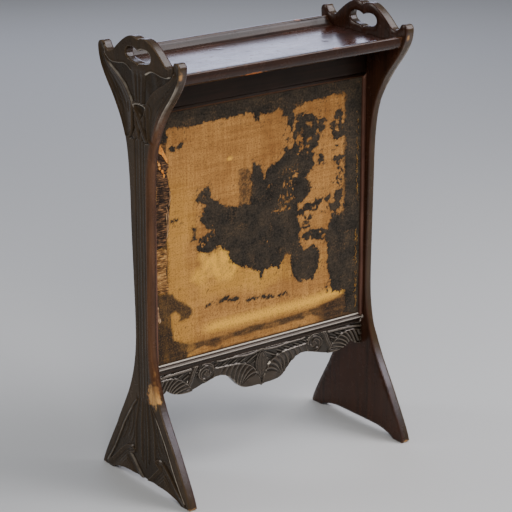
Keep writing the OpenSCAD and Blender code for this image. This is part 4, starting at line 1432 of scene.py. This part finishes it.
def contour_cells(xs, zs, field):
    """The part of a grid where the field is positive, with cells cut along its zero line."""
    points, index, faces = [], {}, []

    def corner(i, j):
        key = (i, j)
        if key not in index:
            index[key] = len(points)
            points.append((xs[i], zs[j]))
        return index[key]

    def cut(i0, j0, i1, j1):
        key = (i0, j0, i1, j1) if (i0, j0) < (i1, j1) else (i1, j1, i0, j0)
        if key not in index:
            a, b, c, d = key
            t = field[a, b] / (field[a, b] - field[c, d])
            t = min(max(t, 0.08), 0.92)
            index[key] = len(points)
            points.append((xs[a] + t * (xs[c] - xs[a]), zs[b] + t * (zs[d] - zs[b])))
        return index[key]

    inside_it = field > 0
    for i in range(len(xs) - 1):
        column = inside_it[i : i + 2]
        for j in np.flatnonzero(column[:, :-1].any(0) | column[:, 1:].any(0)):
            cell = [(i, j), (i + 1, j), (i + 1, j + 1), (i, j + 1)]
            on = [inside_it[p] for p in cell]
            if on[0] == on[2] and on[1] == on[3] and on[0] != on[1]:
                # two opposite corners only: each keeps its own small triangle
                for k in range(4):
                    if on[k]:
                        faces.append([cut(*cell[k - 1], *cell[k]), corner(*cell[k]),
                                      cut(*cell[k], *cell[(k + 1) % 4])])
                continue
            loop = []
            for k in range(4):
                if on[k]:
                    loop.append(corner(*cell[k]))
                if on[k] != on[(k + 1) % 4]:
                    loop.append(cut(*cell[k], *cell[(k + 1) % 4]))
            faces.append(loop)
    return np.array(points), faces


def make_ground_cloth():
    """The cloth over the front, round the bars, and turned under behind."""
    step = 3.4
    nu = int(round(2 * PANEL_X / step)) + 1
    nv = int(round((PANEL_TOP - PANEL_LOW) / step)) + 1
    us, vs = np.linspace(-1, 1, nu), np.linspace(-1, 1, nv)
    mid_z, half_z = (PANEL_LOW + PANEL_TOP) / 2, (PANEL_TOP - PANEL_LOW) / 2
    shares = np.linspace(0, 1, 6)
    insets = np.linspace(0, 1, 8)[1:] * FLAP_W
    grids = []

    x, z = np.meshgrid(us * PANEL_X, np.linspace(PANEL_LOW, PANEL_TOP, nv), indexing="ij")
    grids.append(np.stack([x, cloth_y(x.ravel(), z.ravel()).reshape(x.shape), z], -1))

    def border(place):
        """One side's return and its turned-over flap. place gives the points at an inset, as (x, z)."""
        edge = place(0.0)
        y0 = cloth_y(*edge.T)
        rows = [np.stack([edge[:, 0], y0 + (FLAP_Y - y0) * share, edge[:, 1]], -1) for share in shares]
        for inset in insets:
            line = place(inset)
            rows.append(np.stack([line[:, 0], np.full(len(line), FLAP_Y), line[:, 1]], -1))
        return np.array(rows)

    for side in (1, -1):
        top = border(lambda d: np.stack(
            [us * (PANEL_X - d), np.full(nu, mid_z + side * (half_z - d))], -1))
        grids.append(top if side > 0 else top[:, ::-1])
        edge = border(lambda d: np.stack(
            [np.full(nv, side * (PANEL_X - d)), mid_z + vs * (half_z - d)], -1))
        grids.append(edge[:, ::-1] if side > 0 else edge)
    starts = np.cumsum([0] + [grid.shape[0] * grid.shape[1] for grid in grids])
    points, faces = weld(
        np.concatenate([grid.reshape(-1, 3) for grid in grids]),
        np.concatenate([grid_faces(*grid.shape[:2]) + start for grid, start in zip(grids, starts)]))
    p = points[:, [0, 2]]
    piece = thicken("ground_sheet", points, faces, CLOTH_T, GROUND, {
        "darkening": ground_darkening(p), "clean_and_sheen": ground_clean_and_sheen(p)})
    make_torn_edge()
    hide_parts("ground_cloth")


# dirt and painted shade on the ground cloth: the upper and lower bounds of a band of painted shade under
# the fold, a hooked stain, and the left bound, as (z, x), of the dark corner at the right
BAND_TOP = np.array([(-300, 336), (-247, 335), (-204, 321), (-92, 319), (-43, 325), (90, 323),
                     (150, 328), (196, 330), (228, 344), (300, 352)], float)
BAND_LOW = np.array([(-300, 296), (-247, 304), (-204, 299), (-165, 308), (-133, 297), (-92, 307),
                     (23, 306), (120, 307), (146, 314), (171, 303), (206, 290), (300, 270)], float)
HOOK = np.array([(-262, 456), (-254, 452), (-233, 433), (-216, 420), (-192, 401), (-198, 387),
                 (-216, 381), (-233, 381), (-227, 388), (-229, 399), (-241, 406), (-252, 402),
                 (-264, 400)], float)
CORNER = np.array([(270, -214), (300, -206), (324, -212), (340, -246), (366, -252), (382, -254),
                   (396, -250), (420, -260), (452, -261), (470, -268)], float)
SEAM = chain(curve((-262, 452), (-266, 424), (-252, 400), (-254, 376), 10),
             curve((-254, 376), (-252, 362), (-262, 352), (-264, 330), 10))


def ground_darkening(p):
    """Dirt on the ground cloth: specks by the pile, a band of painted shade under the fold, a hooked
    stain, dark borders.
    """
    x, z = p.T
    near = pile_field(p)
    specks = 0.9 * smooth(1.2 + near / 24) * smooth((fractal(p / 3.6, 50, 2) - 0.34) * 7)
    darkening = np.maximum(0.8 * smooth(1 + near / 3.0), specks)
    # painted shade: a darker band under the bulge of the fold
    ragged = 5.0 * fractal(p / [26, 9], 51, 3)
    band = smooth((np.interp(x, *BAND_TOP.T) + 5.0 - z) / 7 + 0.06 * ragged)
    band *= smooth((z - np.interp(x, *BAND_LOW.T) + 1.5 + ragged) / 5)
    band *= 0.9 - 0.4 * smooth(0.3 + 1.4 * fractal(p / [22, 9], 57, 3))
    low = smooth((303 - z) / 8) * smooth(2.4 * fractal(p / [14, 6], 52, 3) - 0.3) * 0.8
    low = np.maximum(low, 0.8 * smooth((294 - z) / 4 + 0.5 * fractal(p / [9, 5], 67, 2)))
    stain = 0.97 * smooth(signed(p, HOOK) / 6 + 0.55 + 0.8 * fractal(p / 8, 53, 3))
    seam = smooth(1.3 - distance(p, SEAM) / 3.2)
    bound = np.interp(z, *CORNER.T)
    corner = smooth((bound - x) / 6 + 0.5 + 0.9 * fractal(p / 12, 54, 3)) * smooth((470 - z) / 10)
    corner *= 1.0 - 0.45 * smooth(1.6 * fractal(p / [8, 30], 58, 3) - 0.2)
    strip = 0.9 * smooth((-257 - x) / 4 + 0.4 * fractal(p / 8, 59, 2)) * smooth((800 - z) / 12)
    low_right = 1.0 - 0.4 * smooth(2.0 * fractal(p / [14, 6], 62, 3) - 0.3)
    low_right *= smooth((x - 140) / 50) * smooth((336 + (x - 150) / 12 - z) / 7)
    brown = smooth(signed(p, np.array(BROWN, float)) / 7 + 0.5 + 0.9 * fractal(p / 9, 55, 3))
    brown *= 0.5 + 0.4 * smooth(0.5 + 2.0 * fractal(p / 4.5, 65, 2))
    right = 0.8 * smooth((x - 236) / 8)
    spots = 0.9 * smooth((fractal(p / 6.5, 56, 2) - 0.6) * 9)
    return np.maximum.reduce([
        darkening, band, low, stain, 0.95 * seam, corner, strip, low_right, brown, right, spots]).clip(0, 1)


def ground_clean_and_sheen(p):
    """Where the ground cloth is cleanest and brightest, and a painted sheen along the crest of the fold.
    """
    x, z = p.T
    patch = smooth(1.35 - np.hypot((x + 112) / 78, (z - 492) / 46) + 0.55 * fractal(p / 24, 61, 3))
    patch *= 0.62 + 0.38 * smooth(0.5 + 2.4 * fractal(p / 11, 66, 3))
    wide = 0.35 * smooth(1.4 - np.hypot((x + 30) / 190, (z - 442) / 34) + 0.5 * fractal(p / 40, 63, 3))
    # painted sheen along the crest of the slack fold
    fold = 0.9 * np.exp(-((z - 349 - 8 * smooth((x - 120) / 120)) / 12) ** 2) * smooth((x + 190) / 60)
    dots = smooth(1.4 - np.hypot((x + 88) / 8, (z - 734) / 4))
    left = 0.22 * smooth((-150 - x) / 80 + 0.5 * fractal(p / 50, 64, 3)) * smooth((760 - z) / 120)
    return np.maximum.reduce([patch, wide, fold, dots, left]).clip(0, 1)


def ragged_piece(name, box, step, field, top, under, material, attributes=None):
    """A closed thin piece where field is positive, between two depths given at each point."""
    xs = np.arange(box[0], box[1], step)
    zs = np.arange(box[2], box[3], step)
    x, z = np.meshgrid(xs, zs, indexing="ij")
    p = np.stack([x.ravel(), z.ravel()], -1)
    points, faces = contour_cells(xs, zs, field(p).reshape(x.shape))
    fronts, backs = (np.stack([points[:, 0], y, points[:, 1]], -1) for y in (top(points), under(points)))
    rim = {}
    for loop in faces:
        for a, b in zip(loop, loop[1:] + loop[:1]):
            if (b, a) in rim:
                del rim[b, a]
            else:
                rim[a, b] = True
    return thin_solid(name, fronts, backs, faces, rim, material, attributes(points) if attributes else {})


def make_face_cloth():
    """What is left of the worn face cloth, lying on the ground cloth."""

    def field(p):
        return pile_field(p) - 40 * smooth((-256 - p[:, 0]) / 3) * smooth((800 - p[:, 1]) / 6)

    def top(p):
        body = smooth((pile_field(p) + 0.5) / 5)
        return cloth_y(*p.T) - 0.12 - 0.5 * body - 0.12 * (fractal(p / 3, 71, 2) + 1) * body

    def attributes(p):
        bald = smooth(1 - pile_field(p) / 3) * 0.5 + 0.4 * smooth(0.3 + 1.5 * fractal(p / 26, 72, 3))
        return {"bald": bald.clip(0, 1)}

    piece = ragged_piece(
        "face_pile", (-PANEL_X + 1, PANEL_X - 0.9, PANEL_LOW + 1, PANEL_TOP - 0.9), 1.8, field, top,
        lambda p: cloth_y(*p.T) + 0.04, PILE, attributes)
    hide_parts("face_cloth")


# outlines of the torn pieces at the left edge, as (x, z)
RIBBED = [(-293, 737), (-266, 741), (-259, 726), (-251, 687), (-252, 657), (-262, 583), (-268, 566),
          (-293, 560)]
WOVEN = [(-293, 566), (-264, 558), (-260, 539), (-265, 501), (-257, 466), (-266, 454), (-293, 460)]
TORN = [(-293, 800), (-283, 806), (-276, 790), (-262, 776), (-256, 746), (-260, 728), (-276, 734),
        (-293, 736)]
BRIGHT = [(-281, 804), (-281, 779), (-274, 775), (-267, 766), (-259, 753), (-257, 760), (-265, 775),
          (-272, 789)]
LOOSE = [(-291, 431), (-292, 412), (-289, 395), (-285, 388), (-280, 393), (-285, 406), (-286, 426)]
BITS = [
    [(-290, 766), (-284, 768), (-283, 759), (-289, 757)],
    [(-283, 758), (-278, 757), (-277, 750), (-283, 751)],
    [(-281, 748), (-276, 748), (-276, 741), (-281, 742)],
    [(-275, 742), (-270, 740), (-268, 731), (-274, 734)],
    [(-270, 731), (-266, 729), (-266, 723), (-270, 724)],
]


def scrap(name, outline, material, lift, ribs, seed, rough=2.0):
    """A torn piece of cloth, raised off the ground cloth, with ribs of a given height and spacing."""
    thick = 0.5
    outline = np.array(outline, float)
    low, high = outline.min(0) - 3, outline.max(0) + 3
    height, spacing = ribs

    def wave(p):
        phase = p[:, 1] / spacing + 0.8 * fractal(p / [22, 14], seed, 2)
        rib = np.abs(np.sin(math.pi * phase)) ** 0.8
        return height * rib + 0.5 * height * fractal(p / [9, 2.6], seed + 1, 2)

    piece = ragged_piece(
        name, (low[0], high[0], low[1], high[1]), 1.1,
        lambda p: signed(p, outline) + rough * fractal(p / [5, 3], seed + 2, 2),
        lambda p: cloth_y(*p.T) - lift - thick - wave(p),
        lambda p: cloth_y(*p.T) - 0.4 * lift - 0.2 * wave(p), material)
    add_ridges(piece)
    return piece


def strands(name, lines, radius, material):
    """Loose threads: each is a thin four-sided tube along its own line of (x, y, z) points."""
    verts, faces = [], []
    for line in lines:
        line = np.array(line, float)
        way = np.gradient(line, axis=0)
        side = np.cross(way, [0, 1, 0.02])
        side /= np.linalg.norm(side, axis=1)[:, None]
        out = np.cross(side, way)
        out /= np.linalg.norm(out, axis=1)[:, None]
        taper = np.full(len(line), radius)
        taper[[0, -1]] *= 0.4
        start = len(verts) * 4
        for at, a, b, r in zip(line, side, out, taper):
            verts.append([at + r * a, at + r * b, at - r * a, at - r * b])
        for low in range(start, start + 4 * len(line) - 4, 4):
            for c in range(4):
                faces.append([low + c, low + (c + 1) % 4, low + 4 + (c + 1) % 4, low + 4 + c])
        faces += [[start, start + 1, start + 2, start + 3],
                  [start + 4 * len(line) - 4 + c for c in (3, 2, 1, 0)]]
    piece = new_object(name, np.concatenate(verts), faces, material)
    face_outwards(piece)
    return piece


def loose_threads(seed, count, x_range, z_range, length, lean):
    """Bent threads scattered over a part of the panel. lean is their mean direction, in degrees."""
    rng = np.random.default_rng(seed)
    lines = []
    for _ in range(count):
        x, z = rng.uniform(*x_range), rng.uniform(*z_range)
        turn = math.radians(lean + rng.normal(0, 24))
        bend = rng.normal(0, 0.9)
        reach = rng.uniform(*length)
        t = np.linspace(-0.5, 0.5, 6)
        angle = turn + bend * t
        xs = x + reach * t * np.cos(angle)
        zs = z + reach * t * np.sin(angle)
        ys = cloth_y(xs, zs) - 1.2 - rng.uniform(0, 1.2) * np.cos(math.pi * t) - 0.3
        lines.append(np.stack([xs, ys, zs], -1))
    return lines


def edge_line(points, lift):
    """A smooth line over the ground cloth through the given (x, z) points."""
    line = resample(np.array(points, float), 4)
    x = line[:, 0] + 0.7 * fractal(line / 7, 95, 2)
    return np.stack([x, cloth_y(x, line[:, 1]) - lift, line[:, 1]], -1)


def make_torn_edge():
    """The torn edge down the left side of the panel, and the frayed one down the right."""
    ribbed = scrap("torn_strip", RIBBED, STRIP, lift=0.8, ribs=(1.1, 4.6), seed=101)
    scraps = scrap("torn_weave", WOVEN, SCRAP, lift=0.5, ribs=(0.7, 5.2), seed=111, rough=3.4)
    torn = scrap("torn_shreds", TORN, STRIP, lift=0.5, ribs=(1.2, 9.0), seed=121, rough=5.0)
    flap = scrap("torn_flap", BRIGHT, FLAP, lift=2.4, ribs=(0.8, 17.0), seed=131, rough=1.0)
    loose = scrap("loose_scrap", LOOSE, CURL, lift=1.6, ribs=(0.6, 13.0), seed=141, rough=0.8)
    bits = [scrap(f"torn_bit_{k}", bit, FLAP, lift=2.2, ribs=(0.4, 6.0), seed=151 + 5 * k, rough=1.2)
            for k, bit in enumerate(BITS)]
    curls = strands("curled_edges", [
        edge_line([(-263, 656), (-258, 640), (-257, 620), (-259, 601), (-262, 583)], 2.6),
        edge_line([(-264, 640), (-261, 618), (-263, 598)], 3.0),
        edge_line([(-253, 690), (-252, 672), (-256, 655)], 2.4)], radius=1.3, material=CURL)
    light = strands("torn_edge_threads", [
        edge_line([(-291.5, 723), (-292, 711), (-292.5, 684), (-292, 647), (-291, 627)], 2.8),
        edge_line([(-290, 716), (-289, 690), (-290, 668)], 3.0),
        edge_line([(-291, 560), (-282, 561), (-272, 558), (-264, 555)], 2.0),
        edge_line([(-291, 458), (-280, 455), (-268, 457)], 2.0)], radius=0.7, material=GOLD)
    fibres = strands("frayed_threads_left",
                     loose_threads(161, 60, (-291, -258), (460, 736), (6, 15), 4)
                     + loose_threads(162, 26, (-262, -254), (470, 720), (5, 12), 70)
                     + loose_threads(163, 16, (-290, -262), (736, 800), (6, 13), -40),
                     radius=0.4, material=STRIP)
    gold = strands("frayed_threads_right",
                   loose_threads(171, 34, (277, 282), (556, 716), (5, 12), 84)
                   + loose_threads(172, 48, (276, 282), (300, 500), (5, 13), 80)
                   + loose_threads(173, 8, (275, 282), (716, 850), (4, 9), 90),
                   radius=0.45, material=GOLD)
    pieces = [ribbed, scraps, torn, flap, loose, curls, light, fibres, gold] + bits
    return pieces


def make_lining():
    """The plain lining on the back, slightly slack."""
    nu, nv = 90, 88
    x, z = np.meshgrid(
        np.linspace(-PANEL_X, PANEL_X, nu), np.linspace(PANEL_LOW, PANEL_TOP, nv), indexing="ij")
    p = np.stack([x.ravel(), z.ravel()], -1)
    edge = smooth(from_border(*p.T) / 40)
    y = FRIEZE_REAR_Y - 0.35 * edge * (1 + fractal(p / [70, 90], 81, 3))
    points = np.stack([p[:, 0], y, p[:, 1]], -1)
    darkening = 0.5 * smooth(0.3 + 0.8 * fractal(p / 60, 82, 4)) + 0.4 * (1 - edge)
    piece = thicken("lining_sheet", points, grid_faces(nu, nv)[:, ::-1], 0.6, LINING, {
        "darkening": darkening.clip(0, 1)})
    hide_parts("back_lining")


def dress_hidden():
    """The joinery that stays as it was packed gets its own materials."""
    kinds = {
        DOWEL: ["rim_dowels", "apron_dowels"],
        INNER: ["glue_blocks", "stretcher_top_bar", "stretcher_bottom_bar"],
        INNER_Z: ["stretcher_left_bar", "stretcher_right_bar"],
        STEEL: ["shelf_screws", "bead_pins", "moulding_pins", "stretcher_nails", "cloth_tacks",
                "lining_tacks", "fillet_screws", "fillet_pins"],
    }
    for material, nodes in kinds.items():
        for node in nodes:
            for slot in bpy.data.objects[node].material_slots:
                slot.link = "OBJECT"
                slot.material = material


make_camera()
make_room()
make_uprights()
make_shelf()
make_rails()
make_back()
make_apron()
make_ground_cloth()
make_face_cloth()
make_lining()
dress_hidden()
